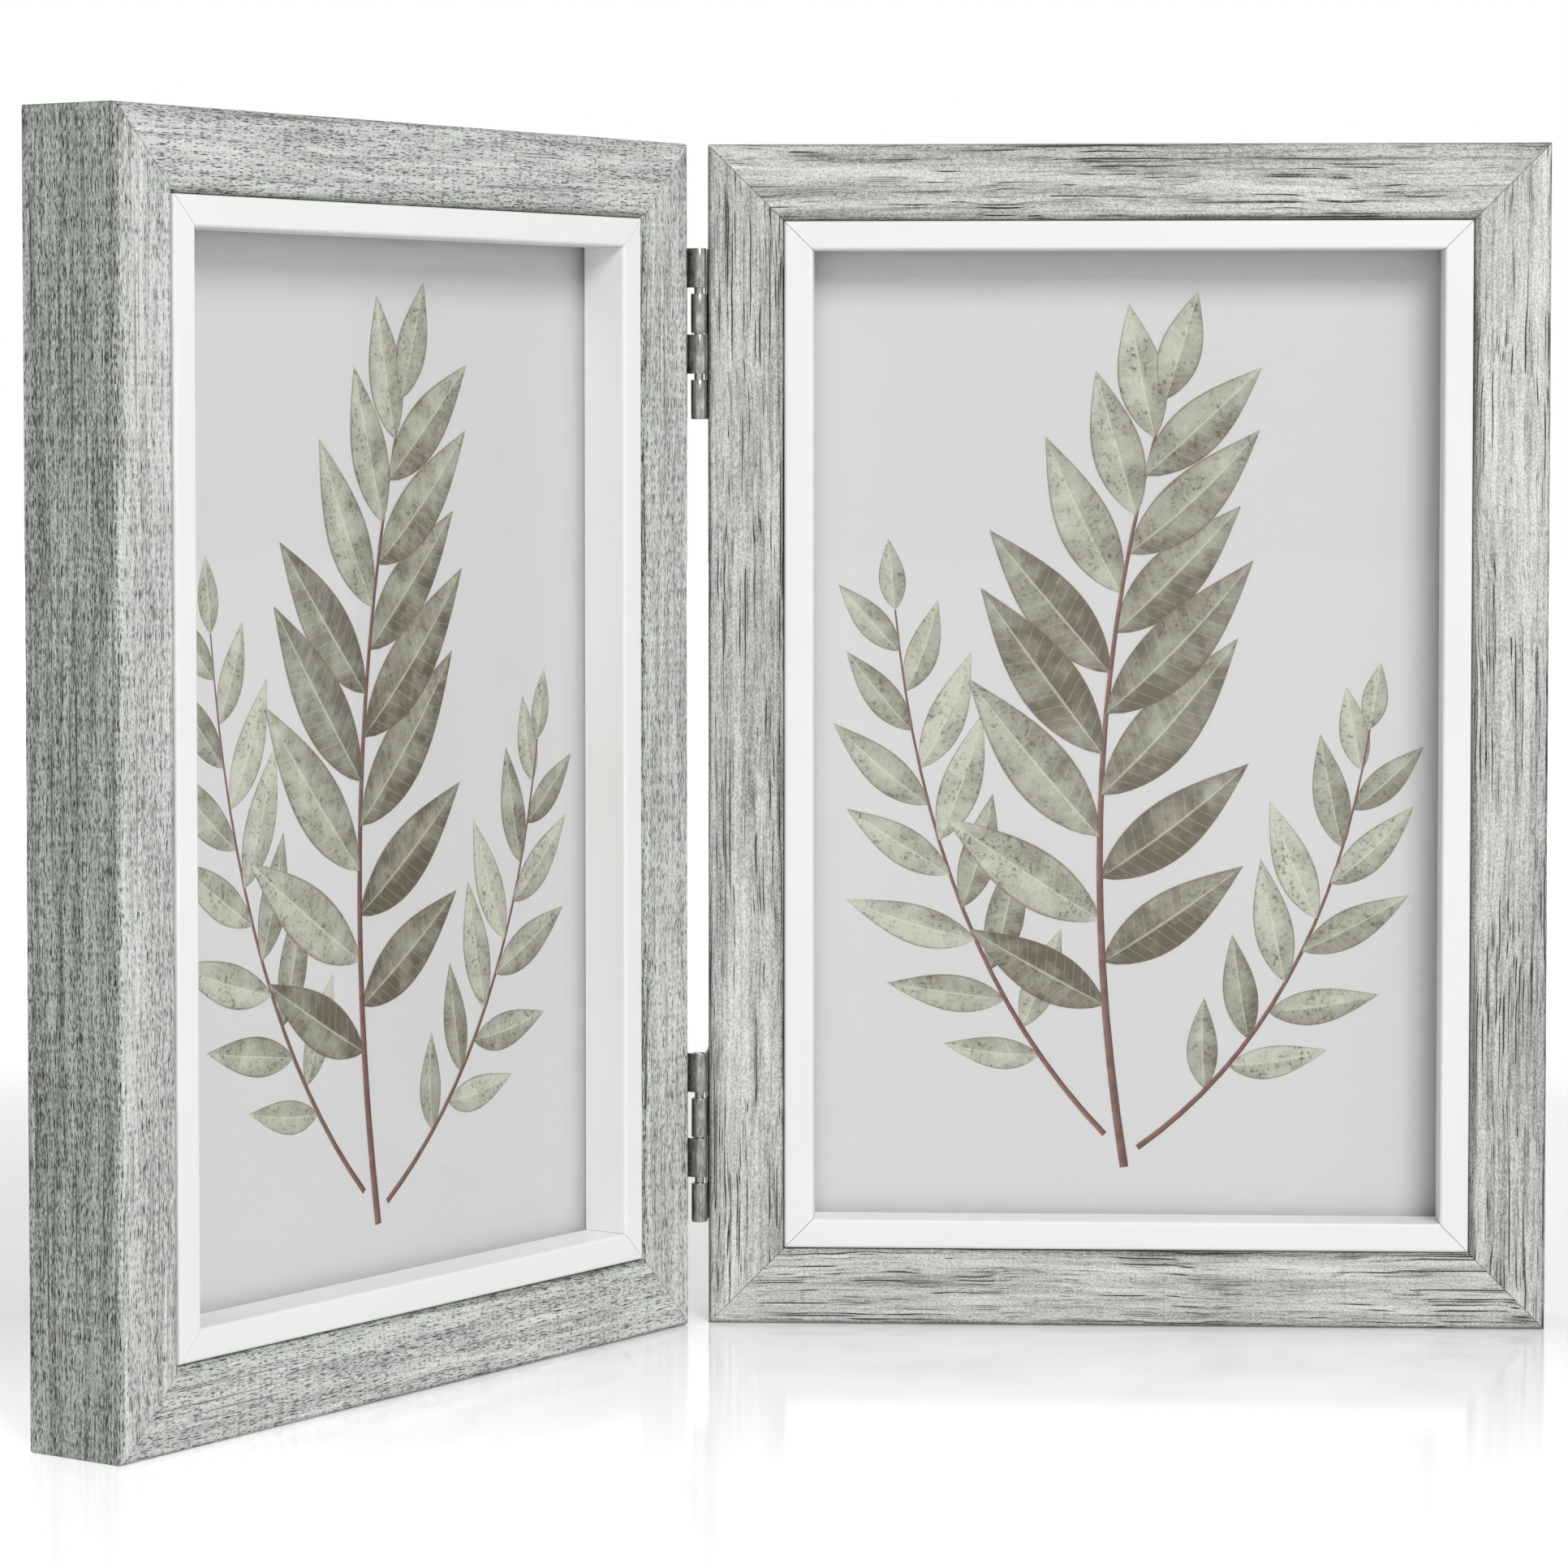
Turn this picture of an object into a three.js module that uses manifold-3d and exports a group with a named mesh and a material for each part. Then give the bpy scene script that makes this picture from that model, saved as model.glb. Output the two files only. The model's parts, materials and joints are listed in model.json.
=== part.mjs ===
// A hinged double photo frame that stands open like a book: two mitred frames with white inner
// slips, glass, insert and backing, joined by two rolled butt hinges along their front edges.
// Millimetres, +Z up. The right frame faces -Y, and the left one is folded forward to meet it.
import * as THREE from "three";
import { mergeVertices } from "three/addons/utils/BufferGeometryUtils.js";
import Module from "manifold-3d";

const wasm = await Module();
wasm.setup();

// Frame moulding: outside sizes of one frame, and the section of its four mitred lengths.
const FRAME_WIDTH = 126;
const FRAME_HEIGHT = 178;
const FRAME_DEPTH = 17;
const MOULDING_WIDTH = 11.4;
const OUTER_EDGE_RADIUS = 0.9;
const INNER_EDGE_RADIUS = 1.5;
const BACK_EDGE_CHAMFER = 0.5;
const MITRE_GAP = 0.1;

// White slip glued inside the moulding. It reaches back to the glass.
const SLIP_WIDTH = 4.3;
const SLIP_SETBACK = 0.3;
const SLIP_EDGE_RADIUS = 0.5;
const GLUE_GAP = 0.1;

// Panels stacked behind the slip, with the board flush with the back of the moulding.
const GLASS_THICKNESS = 2;
const PRINT_THICKNESS = 0.3;
const FILLER_THICKNESS = 3.5;
const BOARD_THICKNESS = 3;
const BOARD_RECESS = 0.1;
const PANEL_GAP = 0.1;
const PANEL_CLEARANCE = 0.8;

// Turn buttons that hold the backing board, two on each stile.
const BUTTON_PIVOT_RADIUS = 4;
const BUTTON_TIP_RADIUS = 2.4;
const BUTTON_REACH = 11;
const BUTTON_THICKNESS = 0.7;
const BUTTON_FLAT_LENGTH = 9;
const BUTTON_LIFT_DEGREES = 22;
const BUTTON_SEAT_GAP = 0.3;
const BUTTON_SPACING = 80;

// Round-headed screw on which a turn button swivels.
const BUTTON_SCREW_DIAMETER = 2;
const BUTTON_SCREW_LENGTH = 10;
const BUTTON_SCREW_HEAD_DIAMETER = 4.6;
const BUTTON_SCREW_HEAD_HEIGHT = 1.6;

// Rolled butt hinges: two knuckles on each leaf, on one pin that stands proud of the faces.
const PIN_DIAMETER = 1.4;
const PIN_END_CHAMFER = 0.2;
const PIN_CLEARANCE = 0.1;
const LEAF_THICKNESS = 0.4;
const LEAF_REACH = 9;
const LEAF_CORNER_RADIUS = 1;
const LEAF_SEAT_GAP = 0.1;
const KNUCKLE_LENGTH = 5.9;
const KNUCKLE_WIDE_GAP = 0.9;
const KNUCKLE_CLOSE_GAP = 0.2;
const KNUCKLE_SEAM_GAP = 0.15;
const KNUCKLE_NOTCH_GAP = 0.3;
const AXIS_PROUD = 0.8;
const HINGE_END_DISTANCE = 15.6;
const FOLD_DEGREES = 57.7;

// Countersunk hinge screws, two in each leaf.
const HINGE_SCREW_DIAMETER = 1.5;
const HINGE_SCREW_HEAD_DIAMETER = 3;
const HINGE_SCREW_SPACING = 16;
const HINGE_SCREW_COVER = 4;

// Room round every screw, and how far a cutting shape runs past the face that it cuts.
const SCREW_CLEARANCE = 0.15;
const CUT_MARGIN = 1;

// Facets on round forms.
const EDGE_STEPS = 5;
const KNUCKLE_STEPS = 20;
const OUTLINE_STEPS = 10;
const SCREW_SIDES = 12;
const MERGE_DISTANCE = 1e-4;

// Sizes that follow from the driving dimensions.
const PIN_RADIUS = PIN_DIAMETER / 2;
const KNUCKLE_BORE_RADIUS = PIN_RADIUS + PIN_CLEARANCE;
const KNUCKLE_RADIUS = KNUCKLE_BORE_RADIUS + LEAF_THICKNESS;
const HINGE_LENGTH = 4 * KNUCKLE_LENGTH + 2 * KNUCKLE_WIDE_GAP + KNUCKLE_CLOSE_GAP;
const HINGE_HEIGHT = FRAME_HEIGHT / 2 - HINGE_END_DISTANCE - HINGE_LENGTH / 2;
const LEAF_ROOT = KNUCKLE_RADIUS + KNUCKLE_NOTCH_GAP;
const HINGE_SCREW_ROW = (LEAF_ROOT + LEAF_REACH) / 2;
const SIDE_TO_AXIS = KNUCKLE_RADIUS + LEAF_SEAT_GAP;
const HINGE_SCREW_LENGTH = MOULDING_WIDTH + LEAF_SEAT_GAP + LEAF_THICKNESS - HINGE_SCREW_COVER;
const BOARD_FRONT = FRAME_DEPTH - BOARD_RECESS - BOARD_THICKNESS;
const FILLER_FRONT = BOARD_FRONT - PANEL_GAP - FILLER_THICKNESS;
const PRINT_FRONT = FILLER_FRONT - PANEL_GAP - PRINT_THICKNESS;
const GLASS_FRONT = PRINT_FRONT - PANEL_GAP - GLASS_THICKNESS;
const SLIP_BACK = GLASS_FRONT - PANEL_GAP;
const PANEL_WIDTH = FRAME_WIDTH - 2 * (MOULDING_WIDTH + PANEL_CLEARANCE);
const PANEL_HEIGHT = FRAME_HEIGHT - 2 * (MOULDING_WIDTH + PANEL_CLEARANCE);
const BUTTON_SEAT = FRAME_DEPTH + BUTTON_SEAT_GAP;
const BUTTON_SCREW_SEAT = BUTTON_SEAT + BUTTON_THICKNESS + BUTTON_SEAT_GAP;

// Finishes: colour, roughness and metalness.
const FINISHES = {
  moulding: { color: 0xc9ccc6, roughness: 0.75, metalness: 0 },
  slip: { color: 0xf2f2f0, roughness: 0.4, metalness: 0 },
  glass: { color: 0xf4f8f7, roughness: 0.05, metalness: 0, transparent: true, opacity: 0.2 },
  print: { color: 0xdedfdd, roughness: 0.55, metalness: 0 },
  filler: { color: 0xb99a6f, roughness: 0.9, metalness: 0 },
  board: { color: 0x8d6f50, roughness: 0.8, metalness: 0 },
  steel: { color: 0xb9bab6, roughness: 0.3, metalness: 1 },
};

// Axes that turn a drawn outline and its extrusion into place.
const AXIS_X = new THREE.Vector3(1, 0, 0);
const AXIS_Y = new THREE.Vector3(0, 1, 0);
const AXIS_Z = new THREE.Vector3(0, 0, 1);
const ALONG_X = new THREE.Matrix4().makeBasis(AXIS_Y, AXIS_Z, AXIS_X);
const ALONG_Y = new THREE.Matrix4().makeBasis(AXIS_Z, AXIS_X, AXIS_Y);
const QUARTER_TURN = Math.PI / 2;
const HALF_TURN = Math.PI;

/** A closed geometry as a solid that can be joined and cut. */
function toSolid(geometry) {
  const bare = geometry.clone();
  bare.deleteAttribute("normal");
  bare.deleteAttribute("uv");
  const merged = mergeVertices(bare, MERGE_DISTANCE);
  const vertProperties = merged.attributes.position.array;
  const triVerts = new Uint32Array(merged.index.array);
  return new wasm.Manifold(new wasm.Mesh({ numProp: 3, vertProperties, triVerts }));
}

/** A solid's surface as a geometry. */
function toGeometry(solid) {
  const { vertProperties, triVerts } = solid.getMesh();
  const geometry = new THREE.BufferGeometry();
  geometry.setAttribute("position", new THREE.BufferAttribute(vertProperties, 3));
  geometry.setIndex(new THREE.BufferAttribute(triVerts, 1));
  geometry.computeVertexNormals();
  return geometry;
}

/** A geometry with others cut out of it. */
function cut(geometry, tools) {
  const solid = tools.reduce((left, tool) => left.subtract(toSolid(tool)), toSolid(geometry));
  return toGeometry(solid);
}

/** A named piece with a material of its own. */
function piece(name, geometry, finish) {
  const mesh = new THREE.Mesh(geometry, new THREE.MeshStandardMaterial(FINISHES[finish]));
  mesh.name = name;
  return mesh;
}

/** An outline extruded by a depth, with its round stretches in the given number of steps. */
function prism(shape, depth, curveSegments) {
  return new THREE.ExtrudeGeometry(shape, { depth, curveSegments, bevelEnabled: false });
}

/** The moulding's section: x is the depth behind the face, y the distance in from the outer edge. */
function mouldingSection() {
  const innerArcY = MOULDING_WIDTH - INNER_EDGE_RADIUS;
  const shape = new THREE.Shape();
  shape.moveTo(OUTER_EDGE_RADIUS, 0);
  shape.lineTo(FRAME_DEPTH - BACK_EDGE_CHAMFER, 0);
  shape.lineTo(FRAME_DEPTH, BACK_EDGE_CHAMFER);
  shape.lineTo(FRAME_DEPTH, MOULDING_WIDTH);
  shape.lineTo(INNER_EDGE_RADIUS, MOULDING_WIDTH);
  shape.absarc(INNER_EDGE_RADIUS, innerArcY, INNER_EDGE_RADIUS, QUARTER_TURN, HALF_TURN, false);
  shape.lineTo(0, OUTER_EDGE_RADIUS);
  shape.absarc(OUTER_EDGE_RADIUS, OUTER_EDGE_RADIUS, OUTER_EDGE_RADIUS, HALF_TURN, 3 * QUARTER_TURN, false);
  return shape;
}

/** The slip's section, drawn on the same axes as the moulding that it is glued to. */
function slipSection() {
  const outerY = MOULDING_WIDTH + GLUE_GAP;
  const innerY = outerY + SLIP_WIDTH;
  const arcX = SLIP_SETBACK + SLIP_EDGE_RADIUS;
  const shape = new THREE.Shape();
  shape.moveTo(arcX, outerY);
  shape.lineTo(SLIP_BACK, outerY);
  shape.lineTo(SLIP_BACK, innerY);
  shape.lineTo(arcX, innerY);
  shape.absarc(arcX, innerY - SLIP_EDGE_RADIUS, SLIP_EDGE_RADIUS, QUARTER_TURN, HALF_TURN, false);
  shape.lineTo(SLIP_SETBACK, outerY + SLIP_EDGE_RADIUS);
  shape.absarc(arcX, outerY + SLIP_EDGE_RADIUS, SLIP_EDGE_RADIUS, HALF_TURN, 3 * QUARTER_TURN, false);
  return shape;
}

/** A section run along X for one side of the frame, with both ends mitred at 45 degrees. */
function mitredLength(section, length) {
  const geometry = prism(section, length, EDGE_STEPS);
  const position = geometry.attributes.position;
  for (let i = 0; i < position.count; i += 1) {
    const end = length / 2 - position.getY(i) - MITRE_GAP / 2;
    position.setZ(i, position.getZ(i) < length / 2 ? -end : end);
  }
  return geometry.applyMatrix4(ALONG_X);
}

/** A countersunk screw, head face on y = 0 and point down; with a clearance it is the screw's hole. */
function hingeScrew(clearance = 0) {
  const shank = HINGE_SCREW_DIAMETER / 2 + clearance;
  const head = HINGE_SCREW_HEAD_DIAMETER / 2 + clearance;
  const top = clearance > 0 ? CUT_MARGIN : 0;
  const outline = [
    new THREE.Vector2(0, -HINGE_SCREW_LENGTH - clearance),
    new THREE.Vector2(shank, shank - HINGE_SCREW_LENGTH - clearance),
    new THREE.Vector2(shank, shank - head),
    new THREE.Vector2(head, 0),
  ];
  if (top > 0) {
    outline.push(new THREE.Vector2(head, top));
  }
  outline.push(new THREE.Vector2(0, top));
  return new THREE.LatheGeometry(outline, SCREW_SIDES);
}

/** A plain pilot hole down the Y axis for a button screw, open at y = 0. */
function buttonScrewHole() {
  const radius = BUTTON_SCREW_DIAMETER / 2 + SCREW_CLEARANCE;
  const bottom = -BUTTON_SCREW_LENGTH - SCREW_CLEARANCE;
  const outline = [
    new THREE.Vector2(0, bottom),
    new THREE.Vector2(radius, bottom + radius),
    new THREE.Vector2(radius, CUT_MARGIN),
    new THREE.Vector2(0, CUT_MARGIN),
  ];
  return new THREE.LatheGeometry(outline, SCREW_SIDES);
}

/** A domed screw, underside of its head on y = 0 and point down. */
function buttonScrew() {
  const shank = BUTTON_SCREW_DIAMETER / 2;
  const head = BUTTON_SCREW_HEAD_DIAMETER / 2;
  const point = BUTTON_SEAT - BUTTON_SCREW_SEAT - BUTTON_SEAT_GAP - BUTTON_SCREW_LENGTH;
  const outline = [
    new THREE.Vector2(0, point),
    new THREE.Vector2(shank, point + shank),
    new THREE.Vector2(shank, 0),
    new THREE.Vector2(head, 0),
  ];
  for (let step = 1; step <= EDGE_STEPS; step += 1) {
    const angle = (QUARTER_TURN * step) / EDGE_STEPS;
    const radius = step < EDGE_STEPS ? head * Math.cos(angle) : 0;
    outline.push(new THREE.Vector2(radius, BUTTON_SCREW_HEAD_HEIGHT * Math.sin(angle)));
  }
  return new THREE.LatheGeometry(outline, SCREW_SIDES);
}

/** A turn button: a tapered strip with round ends, pivot at the origin, tip along +Z, bent away in +Y. */
function turnButton() {
  const flank = Math.acos((BUTTON_PIVOT_RADIUS - BUTTON_TIP_RADIUS) / BUTTON_REACH);
  const outline = new THREE.Shape();
  outline.absarc(0, 0, BUTTON_PIVOT_RADIUS, flank, 2 * HALF_TURN - flank, false);
  outline.absarc(BUTTON_REACH, 0, BUTTON_TIP_RADIUS, -flank, flank, false);
  const lift = THREE.MathUtils.degToRad(BUTTON_LIFT_DEGREES);
  const overall = BUTTON_REACH + BUTTON_TIP_RADIUS;
  const rise = (overall - BUTTON_FLAT_LENGTH + CUT_MARGIN) * Math.tan(lift);
  const plan = prism(outline, rise + BUTTON_THICKNESS, OUTLINE_STEPS).applyMatrix4(ALONG_Y);

  const back = -BUTTON_PIVOT_RADIUS - CUT_MARGIN;
  const end = overall + CUT_MARGIN;
  const strip = new THREE.Shape();
  strip.moveTo(0, back);
  strip.lineTo(BUTTON_THICKNESS, back);
  strip.lineTo(BUTTON_THICKNESS, BUTTON_FLAT_LENGTH);
  strip.lineTo(BUTTON_THICKNESS + rise, end);
  strip.lineTo(rise, end);
  strip.lineTo(0, BUTTON_FLAT_LENGTH);
  const width = 2 * (BUTTON_PIVOT_RADIUS + CUT_MARGIN);
  const bent = prism(strip, width, 1).applyMatrix4(ALONG_X).translate(-width / 2, 0, 0);

  const bore = BUTTON_SCREW_DIAMETER / 2 + SCREW_CLEARANCE;
  const hole = new THREE.CylinderGeometry(bore, bore, 2 * CUT_MARGIN + BUTTON_THICKNESS, SCREW_SIDES);
  return toGeometry(toSolid(plan).intersect(toSolid(bent)).subtract(toSolid(hole)));
}

/** The section of a rolled knuckle: a tongue that comes off the leaf and curls round the pin. */
function knuckleSection() {
  const inside = KNUCKLE_BORE_RADIUS;
  const seam = Math.acos((inside - KNUCKLE_SEAM_GAP) / KNUCKLE_RADIUS) - 2 * HALF_TURN;
  const tongue = LEAF_ROOT + LEAF_THICKNESS;
  const shape = new THREE.Shape();
  shape.moveTo(KNUCKLE_RADIUS, tongue);
  shape.lineTo(KNUCKLE_RADIUS, 0);
  shape.absarc(0, 0, KNUCKLE_RADIUS, 0, seam, true);
  shape.lineTo(inside * Math.cos(seam), inside * Math.sin(seam));
  shape.absarc(0, 0, inside, seam, 0, false);
  shape.lineTo(inside, tongue);
  return shape;
}

/** The flat of a leaf behind its knuckles, its free corners rounded: x is the height, y the reach. */
function leafOutline() {
  const half = HINGE_LENGTH / 2;
  const arcX = half - LEAF_CORNER_RADIUS;
  const arcY = LEAF_REACH - LEAF_CORNER_RADIUS;
  const shape = new THREE.Shape();
  shape.moveTo(-half, LEAF_ROOT);
  shape.lineTo(half, LEAF_ROOT);
  shape.lineTo(half, arcY);
  shape.absarc(arcX, arcY, LEAF_CORNER_RADIUS, 0, QUARTER_TURN, false);
  shape.lineTo(-arcX, LEAF_REACH);
  shape.absarc(-arcX, arcY, LEAF_CORNER_RADIUS, QUARTER_TURN, HALF_TURN, false);
  return shape;
}

/** One hinge leaf on the Z axis, seated towards +X, with the second and fourth knuckles from its top. */
function hingeLeaf() {
  const flat = prism(leafOutline(), LEAF_THICKNESS, EDGE_STEPS);
  flat.rotateY(QUARTER_TURN).translate(KNUCKLE_BORE_RADIUS, 0, 0);
  const lowest = -HINGE_LENGTH / 2;
  const step = 2 * KNUCKLE_LENGTH + KNUCKLE_WIDE_GAP + KNUCKLE_CLOSE_GAP;
  let solid = toSolid(flat);
  for (const bottom of [lowest, lowest + step]) {
    const knuckle = prism(knuckleSection(), KNUCKLE_LENGTH, KNUCKLE_STEPS).translate(0, 0, bottom);
    solid = solid.add(toSolid(knuckle));
  }
  for (const height of [-HINGE_SCREW_SPACING / 2, HINGE_SCREW_SPACING / 2]) {
    const hole = hingeScrew(SCREW_CLEARANCE).rotateZ(QUARTER_TURN);
    hole.translate(KNUCKLE_BORE_RADIUS, HINGE_SCREW_ROW, height);
    solid = solid.subtract(toSolid(hole));
  }
  return toGeometry(solid);
}

/** The hinge pin: a plain rod with eased ends. */
function hingePin() {
  const half = HINGE_LENGTH / 2;
  const eased = PIN_RADIUS - PIN_END_CHAMFER;
  const outline = [
    new THREE.Vector2(0, -half),
    new THREE.Vector2(eased, -half),
    new THREE.Vector2(PIN_RADIUS, PIN_END_CHAMFER - half),
    new THREE.Vector2(PIN_RADIUS, half - PIN_END_CHAMFER),
    new THREE.Vector2(eased, half),
    new THREE.Vector2(0, half),
  ];
  return new THREE.LatheGeometry(outline, SCREW_SIDES).rotateX(QUARTER_TURN);
}

/** Holes in a stile for its two button screws, on the stile's own axes. */
function buttonHoles() {
  return [-1, 1].map((way) =>
    buttonScrewHole().translate((way * BUTTON_SPACING) / 2, FRAME_DEPTH, MOULDING_WIDTH / 2),
  );
}

/** Holes in the hinge stile for the screws of both hinges, on the stile's own axes. */
function hingeHoles() {
  const holes = [];
  for (const hinge of [-HINGE_HEIGHT, HINGE_HEIGHT]) {
    for (const way of [-1, 1]) {
      const hole = hingeScrew(SCREW_CLEARANCE).rotateX(-QUARTER_TURN);
      const along = hinge + (way * HINGE_SCREW_SPACING) / 2;
      hole.translate(along, HINGE_SCREW_ROW - AXIS_PROUD, KNUCKLE_BORE_RADIUS - SIDE_TO_AXIS);
      holes.push(hole);
    }
  }
  return holes;
}

/** A stile's two turn buttons and their screws, added to the stile's group; up is +1 if its X runs up. */
function addButtons(group, name, up) {
  for (const [place, way] of [["upper", up], ["lower", -up]]) {
    const along = (way * BUTTON_SPACING) / 2;
    const button = piece(`${name}_${place}_button`, turnButton(), "steel");
    button.position.set(along, BUTTON_SEAT, MOULDING_WIDTH / 2);
    const screw = piece(`${name}_${place}_button_screw`, buttonScrew(), "steel");
    screw.position.set(along, BUTTON_SCREW_SEAT, MOULDING_WIDTH / 2);
    group.add(button, screw);
  }
}

/** A rail across the bottom or the top of a frame, with its slip. */
function makeRail(name, height, turn) {
  const group = new THREE.Group();
  group.position.set(0, 0, height);
  group.rotation.y = turn;
  group.add(piece(`${name}_rail`, mitredLength(mouldingSection(), FRAME_WIDTH), "moulding"));
  group.add(piece(`${name}_slip`, mitredLength(slipSection(), FRAME_WIDTH), "slip"));
  return group;
}

/** A stile on one side of a frame, drilled for its screws, with its slip and turn buttons. */
function makeStile(name, side, holes) {
  const group = new THREE.Group();
  group.position.set((side * FRAME_WIDTH) / 2, 0, FRAME_HEIGHT / 2);
  group.rotation.y = -side * QUARTER_TURN;
  const length = mitredLength(mouldingSection(), FRAME_HEIGHT);
  group.add(piece(`${name}_stile`, cut(length, holes), "moulding"));
  group.add(piece(`${name}_slip`, mitredLength(slipSection(), FRAME_HEIGHT), "slip"));
  addButtons(group, name, side);
  return group;
}

/** The flat panels behind the slip, from the glass to the backing board. */
function makePanels(name) {
  const group = new THREE.Group();
  const panels = [
    ["glass", GLASS_FRONT, GLASS_THICKNESS, "glass"],
    ["print", PRINT_FRONT, PRINT_THICKNESS, "print"],
    ["filler_card", FILLER_FRONT, FILLER_THICKNESS, "filler"],
    ["backing_board", BOARD_FRONT, BOARD_THICKNESS, "board"],
  ];
  for (const [part, front, thickness, finish] of panels) {
    const panel = new THREE.BoxGeometry(PANEL_WIDTH, thickness, PANEL_HEIGHT);
    panel.translate(0, front + thickness / 2, FRAME_HEIGHT / 2);
    group.add(piece(`${name}_${part}`, panel, finish));
  }
  return group;
}

/** One frame with its front face on y = 0; hingeSide is the side, -1 or 1, that the hinges are on. */
function makeFrame(name, hingeSide) {
  const frame = new THREE.Group();
  frame.add(makeRail(`${name}_bottom`, 0, 0));
  frame.add(makeRail(`${name}_top`, FRAME_HEIGHT, HALF_TURN));
  frame.add(makeStile(`${name}_hinge`, hingeSide, [...buttonHoles(), ...hingeHoles()]));
  frame.add(makeStile(`${name}_outer`, -hingeSide, buttonHoles()));
  frame.add(makePanels(name));
  return frame;
}

/** One half of the object about the hinge axis on Z: a frame with the hinge leaves screwed to it. */
function makeHalf(name, side) {
  const half = new THREE.Group();
  const frame = makeFrame(name, -side);
  frame.position.set(side * (SIDE_TO_AXIS + FRAME_WIDTH / 2), AXIS_PROUD, 0);
  half.add(frame);
  for (const [place, way] of [["upper", 1], ["lower", -1]]) {
    const height = FRAME_HEIGHT / 2 + way * HINGE_HEIGHT;
    const leaf = piece(`${place}_hinge_${name}_leaf`, hingeLeaf(), "steel");
    leaf.position.z = height;
    leaf.rotation.y = side > 0 ? 0 : HALF_TURN;
    half.add(leaf);
    for (const [end, shift] of [["top", 1], ["bottom", -1]]) {
      const screw = piece(`${place}_hinge_${name}_${end}_screw`, hingeScrew(), "steel");
      const screwHeight = height + (shift * HINGE_SCREW_SPACING) / 2;
      screw.position.set(side * KNUCKLE_BORE_RADIUS, HINGE_SCREW_ROW, screwHeight);
      screw.rotation.z = side * QUARTER_TURN;
      half.add(screw);
    }
  }
  return half;
}

const rightHalf = makeHalf("right", 1);
for (const [place, way] of [["upper", 1], ["lower", -1]]) {
  const pin = piece(`${place}_hinge_pin`, hingePin(), "steel");
  pin.position.z = FRAME_HEIGHT / 2 + way * HINGE_HEIGHT;
  rightHalf.add(pin);
}
const leftHalf = makeHalf("left", -1);
leftHalf.rotation.z = THREE.MathUtils.degToRad(FOLD_DEGREES);

// The origin is the middle of the box round the object, on the surface that it stands on.
const halves = new THREE.Group();
halves.add(rightHalf, leftHalf);
const middle = new THREE.Box3().setFromObject(halves, true).getCenter(new THREE.Vector3());
halves.position.set(-middle.x, -middle.y, 0);

const doubleFrame = new THREE.Group();
doubleFrame.add(halves);

export default doubleFrame;
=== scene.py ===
"""Looks of a hinged double photo frame that stands open like a book.

Two mitred frames of grey wood grain with white slips, glass, a botanical insert card and a backing board
held by turn buttons, joined by two rolled butt hinges. Metres, +Z up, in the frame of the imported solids.
"""

import json
import logging
import math
import random
from dataclasses import dataclass, field
from enum import Enum
from typing import Callable, Iterable, Optional, Sequence, Union

import bmesh
import bpy
from bmesh.types import BMEdge, BMFace, BMesh, BMVert
from mathutils import Matrix, Vector


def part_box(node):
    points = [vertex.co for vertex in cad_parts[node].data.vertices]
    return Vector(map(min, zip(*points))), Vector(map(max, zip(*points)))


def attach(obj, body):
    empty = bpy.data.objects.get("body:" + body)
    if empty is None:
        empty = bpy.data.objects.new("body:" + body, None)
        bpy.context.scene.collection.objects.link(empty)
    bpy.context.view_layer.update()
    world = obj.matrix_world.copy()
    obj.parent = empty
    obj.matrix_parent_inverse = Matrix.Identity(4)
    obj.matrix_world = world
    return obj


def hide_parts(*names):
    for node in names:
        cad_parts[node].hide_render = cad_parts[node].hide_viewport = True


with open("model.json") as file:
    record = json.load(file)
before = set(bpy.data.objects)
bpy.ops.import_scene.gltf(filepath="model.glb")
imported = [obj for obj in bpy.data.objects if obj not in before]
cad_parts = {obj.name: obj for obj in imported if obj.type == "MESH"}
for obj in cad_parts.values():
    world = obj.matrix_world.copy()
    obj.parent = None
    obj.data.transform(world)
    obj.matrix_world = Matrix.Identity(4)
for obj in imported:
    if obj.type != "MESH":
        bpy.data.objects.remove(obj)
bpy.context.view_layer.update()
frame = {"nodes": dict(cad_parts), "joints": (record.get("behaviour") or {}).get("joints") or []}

LOG = logging.getLogger("double_frame")
MM = 0.001
FULL_TURN = 2 * math.pi
QUARTER_TURN = math.pi / 2

# Points that lie closer than this, in metres, are one point.
WELD = 1e-7

# Places nearer than this, in metres, are taken as the same.
NEAR = 10 * WELD

# An edge that turns by more than this is drawn sharp.
SHARP_ANGLE = math.radians(32)

# The floor of a cross recess is this share of its mouth.
CROSS_TAPER = 0.8

Colour = tuple[float, float, float, float]
Rate = tuple[float, float, float]
Socket = bpy.types.NodeSocket
Value = Union[Socket, float, Sequence[float]]
Outline = Callable[[float, float], Vector]

WHITE: Colour = (1.0, 1.0, 1.0, 1.0)


def srgb(red: int, green: int, blue: int) -> Colour:
    """A colour as a screen writes it, in the linear values that a shader takes.

    Args:
        red: Red, 0 to 255.
        green: Green, 0 to 255.
        blue: Blue, 0 to 255.

    Returns:
        Linear red, green, blue and an alpha of 1.
    """
    channels = [channel / 255 for channel in (red, green, blue)]
    linear = [c / 12.92 if c <= 0.04045 else ((c + 0.055) / 1.055) ** 2.4 for c in channels]
    return (linear[0], linear[1], linear[2], 1.0)


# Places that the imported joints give: the hinge pins' axis, and how far the left frame is folded forward.
JOINTS = {joint["name"]: joint for joint in frame["joints"]}
HINGE_AXIS = Vector((*JOINTS["fold"]["pos_m"][:2], 0.0))
LEFT_BACK = Vector(JOINTS["left_outer_upper_button_turn"]["axis"])
LEFT_TURN = math.atan2(-LEFT_BACK.x, LEFT_BACK.y)

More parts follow.
